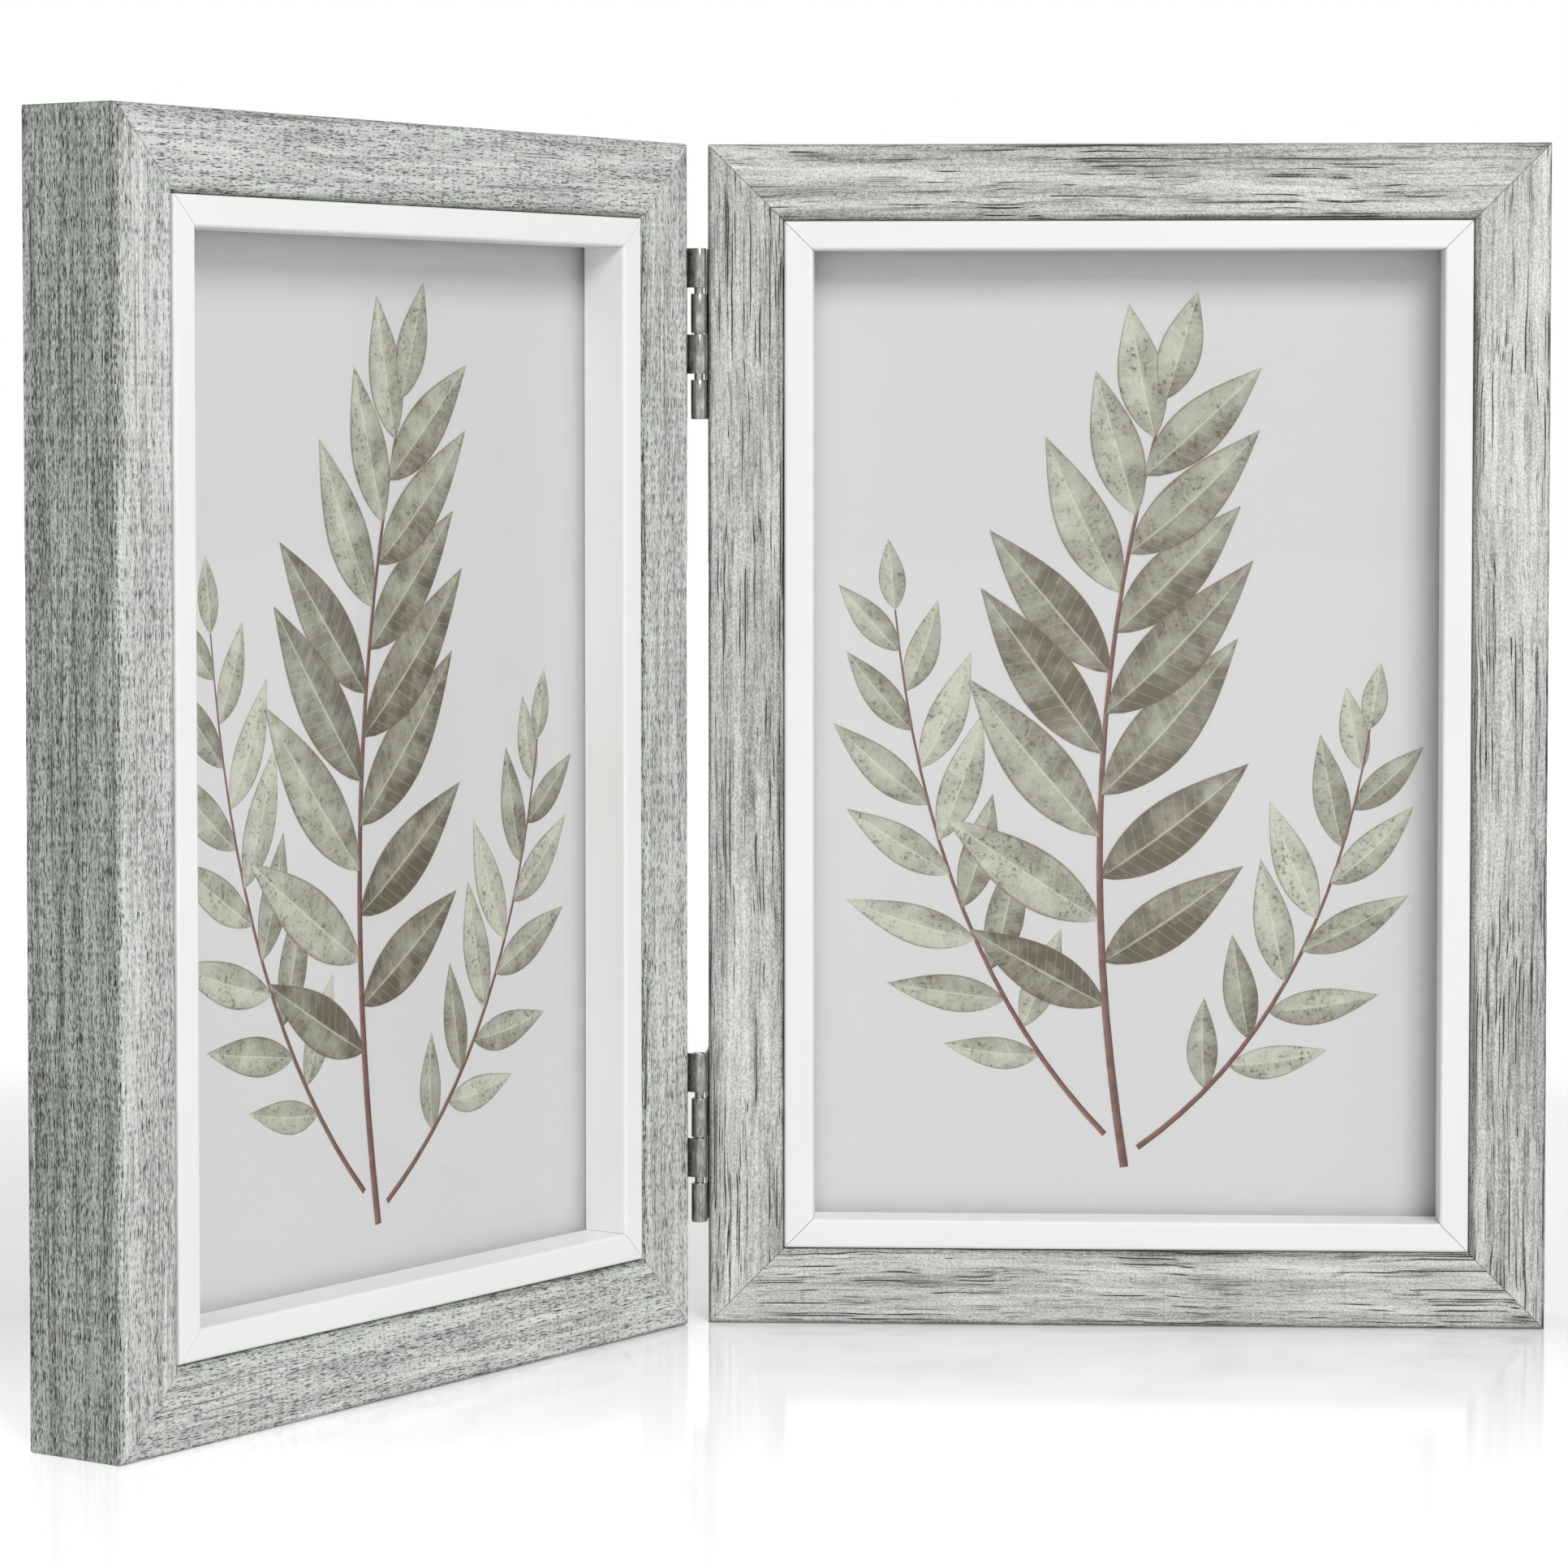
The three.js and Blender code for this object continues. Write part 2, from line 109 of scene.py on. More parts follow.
# The frames' faces lie this far behind the hinge axis.
FACE_BEHIND_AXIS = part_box("right_top_rail")[0].y - HINGE_AXIS.y

LEAF_UV = "leaf_grid"
LEAF_TONE = "leaf_tone"
INK_ROUGHNESS = 0.5
INK_SPECULAR = 0.3


class Side(Enum):
    """One of the two frames, as the viewer sees them."""

    RIGHT = "right"
    LEFT = "left"

    @property
    def way(self) -> int:
        """The side of the hinge axis that the frame is on: +1 right, -1 left."""
        return 1 if self is Side.RIGHT else -1

    @property
    def body(self) -> str:
        """The moving body that carries the frame."""
        return f"{self.value}_frame"

    @property
    def turn(self) -> Matrix:
        """The frame's turn about the hinge axis at rest."""
        return Matrix.Rotation(0.0 if self is Side.RIGHT else LEFT_TURN, 3, "Z")

    @property
    def place(self) -> Matrix:
        """From the frame's own axes, with the hinge axis on Z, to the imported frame."""
        return Matrix.Translation(HINGE_AXIS) @ self.turn.to_4x4()

    @property
    def leaf_place(self) -> Matrix:
        """The same place for a hinge leaf, which is turned half over to fit the left frame."""
        if self is Side.RIGHT:
            return self.place
        return self.place @ Matrix.Rotation(math.pi, 4, "Y")


class GrainRun(Enum):
    """The way that the grain runs in a length of moulding."""

    ACROSS = "rail"
    UPRIGHT = "stile"


class Place(Enum):
    """The upper or the lower of two alike fittings."""

    UPPER = "upper"
    LOWER = "lower"


class Graph:
    """Builds the node tree of a material or of the world."""

    def __init__(self, owner: Union[bpy.types.Material, bpy.types.World]) -> None:
        """Starts an empty tree on its owner."""
        owner.use_nodes = True
        self.owner = owner
        self.tree = owner.node_tree
        self.tree.nodes.clear()
        kind = "World" if isinstance(owner, bpy.types.World) else "Material"
        self.output = self.tree.nodes.new(f"ShaderNodeOutput{kind}")

    def node(self, kind: str, inputs: dict[Union[str, int], Value], **settings: object) -> bpy.types.Node:
        """Adds a node.

        Args:
            kind: The node's type, without its prefix.
            inputs: What goes into its sockets, a linked socket or a constant, by name or by number.
            settings: The node's own properties.

        Returns:
            The new node.
        """
        made = self.tree.nodes.new(f"ShaderNode{kind}")
        for key, value in settings.items():
            setattr(made, key, value)
        for key, value in inputs.items():
            if isinstance(value, bpy.types.NodeSocket):
                self.tree.links.new(value, made.inputs[key])
            else:
                made.inputs[key].default_value = value
        return made

    def finish(self, surface: Socket) -> Union[bpy.types.Material, bpy.types.World]:
        """Links the surface to the output and returns the tree's owner."""
        self.tree.links.new(surface, self.output.inputs["Surface"])
        return self.owner

    def millimetres(self, turn: Matrix, origin: Vector) -> Socket:
        """Object coordinates in millimetres about an origin, turned to a piece's own axes.

        Args:
            turn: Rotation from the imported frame's axes to the piece's.
            origin: The point, in metres, that becomes zero.

        Returns:
            The coordinates' vector socket.
        """
        mapping = self.node("Mapping", {"Vector": self.node("TexCoord", {}).outputs["Object"]})
        mapping.inputs["Scale"].default_value = (1 / MM, 1 / MM, 1 / MM)
        mapping.inputs["Rotation"].default_value = turn.to_euler("XYZ")
        mapping.inputs["Location"].default_value = -(turn @ origin) / MM
        return mapping.outputs["Vector"]

    def plain_millimetres(self) -> Socket:
        """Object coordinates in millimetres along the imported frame's axes."""
        return self.millimetres(Matrix.Identity(3), Vector())

    def vector(self, operation: str, first: Value, second: Value) -> Socket:
        """The result of vector arithmetic on two values."""
        return self.node("VectorMath", {0: first, 1: second}, operation=operation).outputs[0]

    def maths(self, operation: str, first: Value, second: Value = 0.0, clamp: bool = False) -> Socket:
        """The result of arithmetic on one or two numbers, held to 0 to 1 if clamp is set."""
        return self.node("Math", {0: first, 1: second}, operation=operation, use_clamp=clamp).outputs[0]

    def split(self, vector: Value) -> tuple[Socket, Socket, Socket]:
        """The three components of a vector."""
        outputs = self.node("SeparateXYZ", {0: vector}).outputs
        return outputs[0], outputs[1], outputs[2]

    def noise(self, vector: Socket, rate: Rate, detail: float = 2.0, rough: float = 0.5) -> Socket:
        """Smooth noise about 0.5.

        Args:
            vector: Where it is read, in millimetres.
            rate: Swells in each millimetre along each axis.
            detail: How many finer layers are added.
            rough: How strong each finer layer is.

        Returns:
            The noise, 0 to 1.
        """
        inputs = {"Vector": self.vector("MULTIPLY", vector, rate), "Scale": 1.0, "Detail": detail}
        return self.node("TexNoise", {**inputs, "Roughness": rough}).outputs[0]

    def sway(self, noise: Socket, reach: float) -> Socket:
        """Noise about 0.5, moved to swing about 0 over that reach."""
        return self.maths("MULTIPLY", self.maths("SUBTRACT", noise, 0.5), reach)

    def spread(self, value: Value, low: float, high: float, start: float = 0.0, end: float = 1.0) -> Socket:
        """A number moved from the range low to high into the range start to end, and held there."""
        inputs = {"Value": value, "From Min": low, "From Max": high, "To Min": start, "To Max": end}
        return self.node("MapRange", inputs).outputs[0]

    def blend(self, factor: Value, first: Value, second: Value) -> Socket:
        """Two colours mixed by a factor."""
        return self.node("Mix", {0: factor, 6: first, 7: second}, data_type="RGBA").outputs[2]

    def bump(self, height: Socket, distance: float, strength: float) -> Socket:
        """A normal that follows a height of 0 to 1 over that distance in metres."""
        inputs = {"Height": height, "Distance": distance, "Strength": strength}
        return self.node("Bump", inputs).outputs["Normal"]

    def gloss(self, roughness: float) -> Socket:
        """A white mirror of that roughness."""
        return self.node("BsdfGlossy", {"Color": WHITE, "Roughness": roughness}).outputs[0]

    def mixed(self, share: Value, first: Socket, second: Socket) -> Socket:
        """Two shaders mixed, by the second one's share."""
        return self.node("MixShader", {0: share, 1: first, 2: second}).outputs[0]

    def coat(
        self,
        colour: Value,
        roughness: Value,
        specular: float = 0.5,
        bumps: Optional[Socket] = None,
        metal: float = 0.0,
    ) -> bpy.types.Material:
        """Finishes the material as one Principled surface.

        Args:
            colour: Its base colour.
            roughness: Its roughness.
            specular: Its specular level.
            bumps: Its normal, where it has bumps.
            metal: 1 for metal.

        Returns:
            The material.
        """
        inputs = {"Base Color": colour, "Roughness": roughness, "Metallic": metal}
        inputs["Specular IOR Level"] = specular
        if bumps is not None:
            inputs["Normal"] = bumps
        return self.finish(self.node("BsdfPrincipled", inputs).outputs[0])

    def seen(self) -> Socket:
        """1 for a ray that shows a thing, straight, mirrored or through glass, and 0 for other rays."""
        path = self.node("LightPath", {}).outputs
        mirrored = self.maths("MAXIMUM", path["Is Glossy Ray"], path["Is Transmission Ray"])
        shown = self.maths("MAXIMUM", path["Is Camera Ray"], mirrored)
        return self.maths("MULTIPLY", shown, self.maths("LESS_THAN", path["Diffuse Depth"], 0.5))


def new_material(name: str) -> Graph:
    """The empty node tree of a new material."""
    return Graph(bpy.data.materials.new(name))


@dataclass(frozen=True)
class Marks:
    """Dark spindle-shaped marks along the grain, one in a cell at most.

    The cells' run along the grain and width across it are in millimetres. A mark's size is a share of them,
    and its core, which is darkest, is a share of its size.
    """

    run: float
    width: float
    size: float
    share: float
    strength: float
    core: float = 0.55

    def draw(self, graph: Graph, grain: Socket, ragged: Socket, crowd: Socket) -> Socket:
        """Draws the marks.

        Args:
            graph: The material.
            grain: Coordinates in millimetres, with X along the grain.
            ragged: What is added to a mark's outline.
            crowd: How many of the cells may be marked, 0 to 1.

        Returns:
            How dark they are, 0 to 1.
        """
        cells = graph.vector("MULTIPLY", grain, (1 / self.run, 1 / self.width, 1 / self.width))
        dots = graph.node("TexVoronoi", {"Vector": cells, "Scale": 1.0}, feature="F1").outputs
        chance, _, _ = graph.split(dots["Color"])
        shown = graph.maths("LESS_THAN", chance, graph.maths("MULTIPLY", crowd, self.share))
        away = graph.maths("ADD", dots["Distance"], ragged)
        spot = graph.spread(away, self.size * self.core, self.size, self.strength, 0.0)
        return graph.maths("MULTIPLY", spot, shown)


@dataclass(frozen=True)
class GreyWood:
    """Weathered grey wood grain: soft bands, fibres and grit under charcoal pores, dashes and cracks,
    darker on its sides and roundovers, partly its own tone and partly painted shade.

    The wrap's depth, what the lines wander by and the stretch that a length is cut from are in millimetres.
    Rates are in swells to the millimetre, along the grain first, and the relief is in metres.
    """

    marks: tuple[Marks, ...]
    pale: Colour
    shade: Colour
    bands: float
    fibres: float
    grit: float
    charcoal: Colour = srgb(46, 48, 46)
    bare_board: Colour = srgb(172, 146, 114)
    board_fleck: Colour = srgb(120, 94, 66)
    # Gamma that darkens the sides and roundovers: partly the wrap's own darker sides, partly painted shade.
    side_shade_gamma: float = 1.7
    wrap_depth: float = 16.7
    wander: float = 2.4
    wiggle: float = 0.4
    stretch: float = 900.0
    ragged: float = 0.6
    crowded_edge: float = 0.7
    swell_rate: Rate = (0.016, 0.07, 0.07)
    ripple_rate: Rate = (0.09, 0.25, 0.25)
    band_rate: Rate = (0.022, 0.4, 0.4)
    fibre_rate: Rate = (0.05, 1.8, 1.8)
    speckle_rate: Rate = (2.6, 4.2, 4.2)
    cloud_rate: Rate = (0.12, 0.3, 0.3)
    roughness: float = 0.62
    relief: float = 0.06 * MM

    def colour(self, graph: Graph, grain: Socket, speckle: Socket, edge: Socket) -> tuple[Socket, Socket]:
        """Colours the grain.

        Args:
            graph: The material.
            grain: Coordinates in millimetres, with X along the grain.
            speckle: Fine noise.
            edge: How crowded the marks are where the moulding turns away from its face; 0 on the face.

        Returns:
            The colour, and how deep the dark marks are, 0 to 1.
        """
        swell = graph.sway(graph.noise(grain, self.swell_rate, 1.0), self.wander)
        ripple = graph.sway(graph.noise(grain, self.ripple_rate, 1.0), self.wiggle)
        drift = graph.maths("ADD", swell, ripple)
        lean = graph.node("CombineXYZ", {1: drift, 2: drift}).outputs[0]
        lines = graph.vector("ADD", grain, lean)
        bands = graph.spread(graph.noise(lines, self.band_rate, 3.0, 0.55), 0.35, 0.65)
        fibre = graph.noise(lines, self.fibre_rate, 3.0, 0.6)
        darkness = graph.maths("MULTIPLY", bands, self.bands)
        fibres = graph.spread(fibre, 0.42, 0.72, 0.0, self.fibres)
        grit = graph.spread(speckle, 0.4, 0.66, 0.0, self.grit)
        darkness = graph.maths("ADD", graph.maths("ADD", darkness, fibres), grit, clamp=True)
        ground = graph.blend(darkness, self.pale, self.shade)
        crowd = graph.maths("MAXIMUM", graph.spread(bands, 0.1, 0.85, 0.3, 1.0), edge)
        ragged = graph.sway(speckle, self.ragged)
        dark = 0.0
        for marks in self.marks:
            dark = graph.maths("MAXIMUM", dark, marks.draw(graph, lines, ragged, crowd))
        return graph.blend(dark, ground, self.charcoal), dark

    def material(self, name: str, side: Side, run: GrainRun, seed: int) -> bpy.types.Material:
        """Makes the finish of one length of moulding.

        Args:
            name: The material's name.
            side: The frame that the length is part of.
            run: The way that its grain runs.
            seed: Picks the stretch of grain.

        Returns:
            The material.
        """
        graph = new_material(name)
        turn = side.turn.transposed()
        if run is GrainRun.UPRIGHT:
            turn = Matrix.Rotation(QUARTER_TURN, 3, "Y") @ turn
        own = graph.millimetres(turn, side.place @ Vector((0.0, FACE_BEHIND_AXIS, 0.0)))
        chance = random.Random(seed)
        grain = graph.vector("ADD", own, [chance.uniform(0, self.stretch) for _ in range(3)])
        speckle = graph.noise(grain, self.speckle_rate, 2.0, 0.75)

        normal = graph.node("TexCoord", {}).outputs["Normal"]
        front = side.turn @ Vector((0.0, -1.0, 0.0))
        facing = graph.node("VectorMath", {0: normal, 1: front}, operation="DOT_PRODUCT").outputs["Value"]
        edge = graph.spread(facing, 0.75, 0.97, self.crowded_edge, 0.0)
        colour, marks = self.colour(graph, grain, speckle, edge)
        # Darker where the moulding turns from its face, on its sides and roundovers: partly the wrap's own
        # darker tone, partly painted shade.
        gamma = graph.spread(facing, 0.75, 0.985, self.side_shade_gamma, 1.0)
        colour = graph.node("Gamma", {"Color": colour, "Gamma": gamma}).outputs[0]
        _, depth, _ = graph.split(own)
        bare = graph.maths("GREATER_THAN", depth, self.wrap_depth)
        cloud = graph.spread(graph.noise(grain, self.cloud_rate, 3.0, 0.6), 0.35, 0.7, 0.0, 0.3)
        fleck = graph.maths("ADD", cloud, graph.spread(speckle, 0.5, 0.64, 0.0, 0.55), clamp=True)
        board = graph.blend(fleck, self.bare_board, self.board_fleck)
        height = graph.maths("SUBTRACT", graph.maths("MULTIPLY", speckle, 0.4), marks)
        roughness = graph.spread(speckle, 0.3, 0.7, self.roughness - 0.06, self.roughness + 0.1)
        colour = graph.blend(bare, colour, board)
        return graph.coat(colour, roughness, 0.3, graph.bump(height, self.relief, 0.6))


CRACKED_GREY = GreyWood(
    marks=(
        Marks(run=1.6, width=0.26, size=0.4, share=0.5, strength=0.45),
        Marks(run=11.0, width=0.27, size=0.38, share=0.42, strength=0.62),
        Marks(run=46.0, width=0.34, size=0.4, share=0.7, strength=1.0),
    ),
    pale=srgb(236, 238, 234),
    shade=srgb(90, 90, 87),
    bands=0.3,
    fibres=0.34,
    grit=0.42,
    wiggle=1.0,
)
PORED_GREY = GreyWood(
    marks=(
        Marks(run=1.1, width=0.21, size=0.44, share=0.95, strength=0.8),
        Marks(run=2.8, width=0.26, size=0.4, share=0.5, strength=0.9),
        Marks(run=60.0, width=0.42, size=0.34, share=0.25, strength=0.6),
    ),
    pale=srgb(233, 236, 232),
    shade=srgb(96, 98, 95),
    bands=0.16,
    fibres=0.36,
    grit=0.4,
)


@dataclass(frozen=True)
class WhitePaint:
    """Smooth white satin paint with the faint ripple of a sprayed coat."""

    colour: Colour = srgb(241, 241, 241)
    warm: Colour = srgb(239, 239, 237)
    relief: float = 0.01 * MM

    def material(self) -> bpy.types.Material:
        """Makes the paint."""
        graph = new_material("white_paint")
        own = graph.plain_millimetres()
        cloud = graph.noise(own, (0.05, 0.05, 0.05))
        ripple = graph.noise(own, (1.3, 1.3, 1.3))
        colour = graph.blend(graph.spread(cloud, 0.35, 0.65), self.colour, self.warm)
        roughness = graph.spread(ripple, 0.3, 0.7, 0.36, 0.46)
        return graph.coat(colour, roughness, 0.4, graph.bump(ripple, self.relief, 0.4))


@dataclass(frozen=True)
class ClearGlass:
    """Clear glass of low gloss that bends what is seen through it and lets the lamps' light straight in."""

    gloss_ahead: float = 0.01
    gloss_power: float = 5.0
    gloss_roughness: float = 0.02
    bend: float = 1.5

    def material(self) -> bpy.types.Material:
        """Makes the glass."""
        graph = new_material("clear_glass")
        clear = graph.node("BsdfTransparent", {"Color": WHITE}).outputs[0]
        bent = graph.node("BsdfRefraction", {"Color": WHITE, "Roughness": 0.0, "IOR": self.bend}).outputs[0]
        path = graph.node("LightPath", {}).outputs
        lighting = graph.maths("MAXIMUM", path["Is Shadow Ray"], path["Is Diffuse Ray"])
        through = graph.mixed(lighting, bent, clear)
        slant = graph.node("LayerWeight", {"Blend": 0.5}).outputs["Facing"]
        rise = graph.maths("POWER", slant, self.gloss_power)
        share = graph.spread(rise, 0.0, 1.0, self.gloss_ahead, 1.0)
        return graph.finish(graph.mixed(share, through, graph.gloss(self.gloss_roughness)))


@dataclass(frozen=True)
class InsertCard:
    """Pale grey insert card, a little darker towards its top: partly its printed tone, partly painted
    shade.
    """

    upper: Colour = srgb(214, 214, 214)
    lower: Colour = srgb(218, 218, 219)
    grit: Colour = srgb(186, 186, 184)
    height: float = 178.0
    relief: float = 0.005 * MM

    def material(self) -> bpy.types.Material:
        """Makes the card."""
        graph = new_material("insert_card")
        own = graph.plain_millimetres()
        _, _, up = graph.split(own)
        grit = graph.noise(own, (6.0, 6.0, 6.0))
        # Darker towards the top: partly the card's printed tone, partly painted shade.
        fall = graph.blend(graph.spread(up, 0.0, self.height), self.lower, self.upper)
        colour = graph.blend(graph.spread(grit, 0.3, 0.7, 0.0, 0.06), fall, self.grit)
        roughness = graph.spread(grit, 0.3, 0.7, 0.5, 0.6)
        return graph.coat(colour, roughness, 0.3, graph.bump(grit, self.relief, 0.3))


@dataclass(frozen=True)
class LeafInk:
    """Printed leaves in dusty sage: two halves, veins, freckles and a brown rim. Each has its own tone."""

    dark: Colour = srgb(94, 90, 74)
    light: Colour = srgb(200, 202, 186)
    vein: Colour = srgb(222, 222, 206)
    freckle: Colour = srgb(82, 82, 60)
    rim: Colour = srgb(118, 98, 70)
    side_veins: float = 15.0

    def material(self) -> bpy.types.Material:
        """Makes the ink."""
        graph = new_material("leaf_ink")
        along, across, _ = graph.split(graph.node("UVMap", {}, uv_map=LEAF_UV).outputs[0])
        signed = graph.maths("SUBTRACT", graph.maths("MULTIPLY", across, 2.0), 1.0)
        off = graph.maths("ABSOLUTE", signed)
        own = graph.plain_millimetres()
        cloud = graph.noise(own, (0.25, 0.25, 0.25), 3.0, 0.6)
        speck = graph.noise(own, (1.7, 1.7, 1.7), 3.0, 0.6)

        tone = graph.node("Attribute", {}, attribute_name=LEAF_TONE).outputs["Fac"]
        shifts = (
            graph.spread(cloud, 0.3, 0.7, -0.25, 0.25),
            graph.spread(signed, -0.06, 0.06, -0.1, 0.1),
            graph.spread(off, 0.0, 1.0, 0.08, -0.1),
            graph.spread(along, 0.0, 1.0, -0.14, 0.12),
        )
        for shift in shifts:
            tone = graph.maths("ADD", tone, shift)
        colour = graph.blend(tone, self.dark, self.light)
        patch = graph.spread(cloud, 0.42, 0.6, 0.75, 0.15)
        spots = graph.maths("MULTIPLY", graph.spread(speck, 0.54, 0.64), patch)
        colour = graph.blend(spots, colour, self.freckle)

        slant = graph.maths("SUBTRACT", graph.maths("MULTIPLY", along, self.side_veins), off)
        wave = graph.maths("ABSOLUTE", graph.maths("SUBTRACT", graph.maths("FRACT", slant), 0.5))
        branch = graph.spread(wave, 0.01, 0.09, 0.16, 0.0)
        rib = graph.spread(off, 0.01, 0.07, 0.5, 0.0)
        colour = graph.blend(graph.maths("MAXIMUM", branch, rib), colour, self.vein)
        colour = graph.blend(graph.spread(off, 0.88, 0.98, 0.0, 0.6), colour, self.rim)
        return graph.coat(colour, INK_ROUGHNESS, INK_SPECULAR)


@dataclass(frozen=True)
class StemInk:
    """Printed stems in reddish brown, lighter along one side."""

    dark: Colour = srgb(92, 60, 54)
    light: Colour = srgb(158, 126, 112)

    def material(self) -> bpy.types.Material:
        """Makes the ink."""
        graph = new_material("stem_ink")
        _, across, _ = graph.split(graph.node("UVMap", {}, uv_map=LEAF_UV).outputs[0])
        knots = graph.noise(graph.plain_millimetres(), (0.6, 0.6, 0.6), 3.0)
        lit = graph.maths("MULTIPLY", across, graph.spread(knots, 0.3, 0.7, 0.3, 1.0))
        colour = graph.blend(lit, self.dark, self.light)
        return graph.coat(colour, INK_ROUGHNESS, INK_SPECULAR)


@dataclass(frozen=True)
class Kraft:
    """Brown kraft paper of the corrugated filler card, with its flutes showing as faint bars."""

    paper: Colour = srgb(186, 152, 108)
    fibre: Colour = srgb(142, 108, 70)
    flute: float = 6.5
    relief: float = 0.05 * MM

    def material(self) -> bpy.types.Material:
        """Makes the paper."""
        graph = new_material("kraft_card")
        own = graph.plain_millimetres()
        _, _, up = graph.split(own)
        fleck = graph.noise(own, (0.8, 0.8, 2.4), 4.0, 0.7)
        wave = graph.maths("SINE", graph.maths("MULTIPLY", up, FULL_TURN / self.flute))
        height = graph.maths("ADD", graph.maths("MULTIPLY", wave, 0.5), fleck)
        colour = graph.blend(graph.spread(fleck, 0.45, 0.75, 0.0, 0.8), self.paper, self.fibre)
        roughness = graph.spread(fleck, 0.3, 0.7, 0.8, 0.92)
        return graph.coat(colour, roughness, 0.2, graph.bump(height, self.relief, 0.5))


@dataclass(frozen=True)
class Hardboard:
    """Brown pressed hardboard: short tangled fibres on a smooth face."""

    ground: Colour = srgb(124, 88, 58)
    fibre: Colour = srgb(164, 126, 88)
    dark: Colour = srgb(78, 52, 34)
    relief: float = 0.04 * MM

    def material(self, side: Side) -> bpy.types.Material:
        """Makes the board of one frame, with its fibres lying on that frame's back."""
        graph = new_material(f"{side.value}_hardboard")
        own = graph.millimetres(side.turn.transposed(), HINGE_AXIS)
        cloud = graph.noise(own, (0.06, 0.06, 0.06), 3.0)
        lying = graph.noise(own, (0.5, 2.0, 2.6), 4.0, 0.7)
        standing = graph.noise(own, (2.6, 2.0, 0.5), 4.0, 0.7)
        felt = graph.maths("MAXIMUM", lying, standing)
        colour = graph.blend(graph.spread(felt, 0.5, 0.75), self.ground, self.fibre)
        colour = graph.blend(graph.spread(cloud, 0.3, 0.7, 0.0, 0.45), colour, self.dark)
        roughness = graph.spread(felt, 0.4, 0.7, 0.5, 0.68)
        return graph.coat(colour, roughness, 0.35, graph.bump(felt, self.relief, 0.5))


@dataclass(frozen=True)
class PlatedSteel:
    """Plated sheet steel with fine marks, brighter where it is rubbed."""

    name: str
    plate: Colour
    dull: Colour
    roughness: float
    marks: Rate
    relief: float = 0.35
    relief_depth: float = 0.01 * MM

    def material(self) -> bpy.types.Material:
        """Makes the plate."""
        graph = new_material(self.name)
        own = graph.plain_millimetres()
        drawn = graph.noise(own, self.marks, 3.0, 0.7)
        bloom = graph.noise(own, (0.35, 0.35, 0.35))
        rubbed = graph.spread(bloom, 0.3, 0.7, 0.5, 1.0)
        worn = graph.maths("MULTIPLY", graph.spread(drawn, 0.35, 0.65), rubbed)
        colour = graph.blend(worn, self.plate, self.dull)
        roughness = graph.spread(worn, 0.0, 1.0, self.roughness, self.roughness + 0.16)
        bumps = graph.bump(drawn, self.relief_depth, self.relief)
        return graph.coat(colour, roughness, bumps=bumps, metal=1.0)


NICKEL = PlatedSteel("nickel_plate", srgb(164, 163, 159), srgb(92, 91, 88), 0.16, (2.6, 2.6, 0.7), 0.12)
ZINC = PlatedSteel("zinc_plate", srgb(200, 201, 203), srgb(150, 152, 156), 0.3, (0.6, 4.0, 4.0))


@dataclass(frozen=True)
class Seat:
    """What a new piece rides on, the record's slot of its finish, which is not used, and the solids that it
    stands for.
    """

    body: str
    slot: str
    stands_for: tuple[str, ...] = ()


def add_object(name: str, data: bpy.types.ID) -> bpy.types.Object:
    """Puts a mesh, a lamp or a camera into the scene, at the origin."""
    made = bpy.data.objects.new(name, data)
    bpy.context.scene.collection.objects.link(made)
    return made


def face_out(shape: BMesh) -> None:
    """Turns the faces of a shape outwards."""
    bmesh.ops.recalc_face_normals(shape, faces=shape.faces)


def finish_piece(name: str, shape: BMesh, finish: bpy.types.Material, place: Matrix, seat: Seat) -> None:
    """Turns a built shape into a finished piece.

    Args:
        name: The piece's name.
        shape: The shape, on its own axes; it is used up.
        finish: Its material.
        place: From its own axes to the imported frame.
        seat: What it rides on and stands for.
    """
    bmesh.ops.remove_doubles(shape, verts=shape.verts, dist=WELD)
    face_out(shape)
    bmesh.ops.transform(shape, matrix=place, verts=shape.verts)
    mesh = bpy.data.meshes.new(name)
    shape.to_mesh(mesh)
    shape.free()
    mesh.materials.append(finish)
    mesh.shade_smooth()
    mesh.set_sharp_from_angle(angle=SHARP_ANGLE)
    piece = add_object(name, mesh)
    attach(piece, seat.body)
    if seat.stands_for:
        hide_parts(*seat.stands_for)
    LOG.info("%s: %d faces on %s", name, len(mesh.polygons), seat.body)


def dress(node: str, finish: bpy.types.Material) -> None:
    """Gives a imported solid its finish.

    Args:
        node: The solid's name.
        finish: Its material.
    """
    for slot in frame["nodes"][node].material_slots:
        slot.material = finish
    LOG.info("%s: dressed with %s", node, finish.name)


def chain(shape: BMesh, points: Iterable[Vector], closed: bool = False) -> list[BMEdge]:
    """Joins points by edges, in order.

    Args:
        shape: Where the edges go.
        points: The points.
        closed: Whether the last point is joined to the first.

    Returns:
        The new edges.
    """
    verts = [shape.verts.new(point) for point in points]
    pairs = list(zip(verts, verts[1:]))
    if closed:
        pairs.append((verts[-1], verts[0]))
    return [shape.edges.new(pair) for pair in pairs]


def turned(shape: BMesh, profile: Sequence[tuple[float, float]], steps: int) -> None:
    """Turns a profile of (radius, height) points about Z into a closed body.

    Args:
        shape: Where the body goes.
        profile: The profile, from one end of the axis to the other.
        steps: Sides of the turned body.
    """
    edges = chain(shape, [Vector((radius, 0.0, height)) for radius, height in profile])
    verts = list({vert for edge in edges for vert in edge.verts})
    spun = {"cent": (0, 0, 0), "axis": (0, 0, 1), "angle": FULL_TURN, "steps": steps, "use_merge": True}
    bmesh.ops.spin(shape, geom=verts + edges, dvec=(0, 0, 0), **spun)
    bmesh.ops.remove_doubles(shape, verts=shape.verts, dist=WELD)


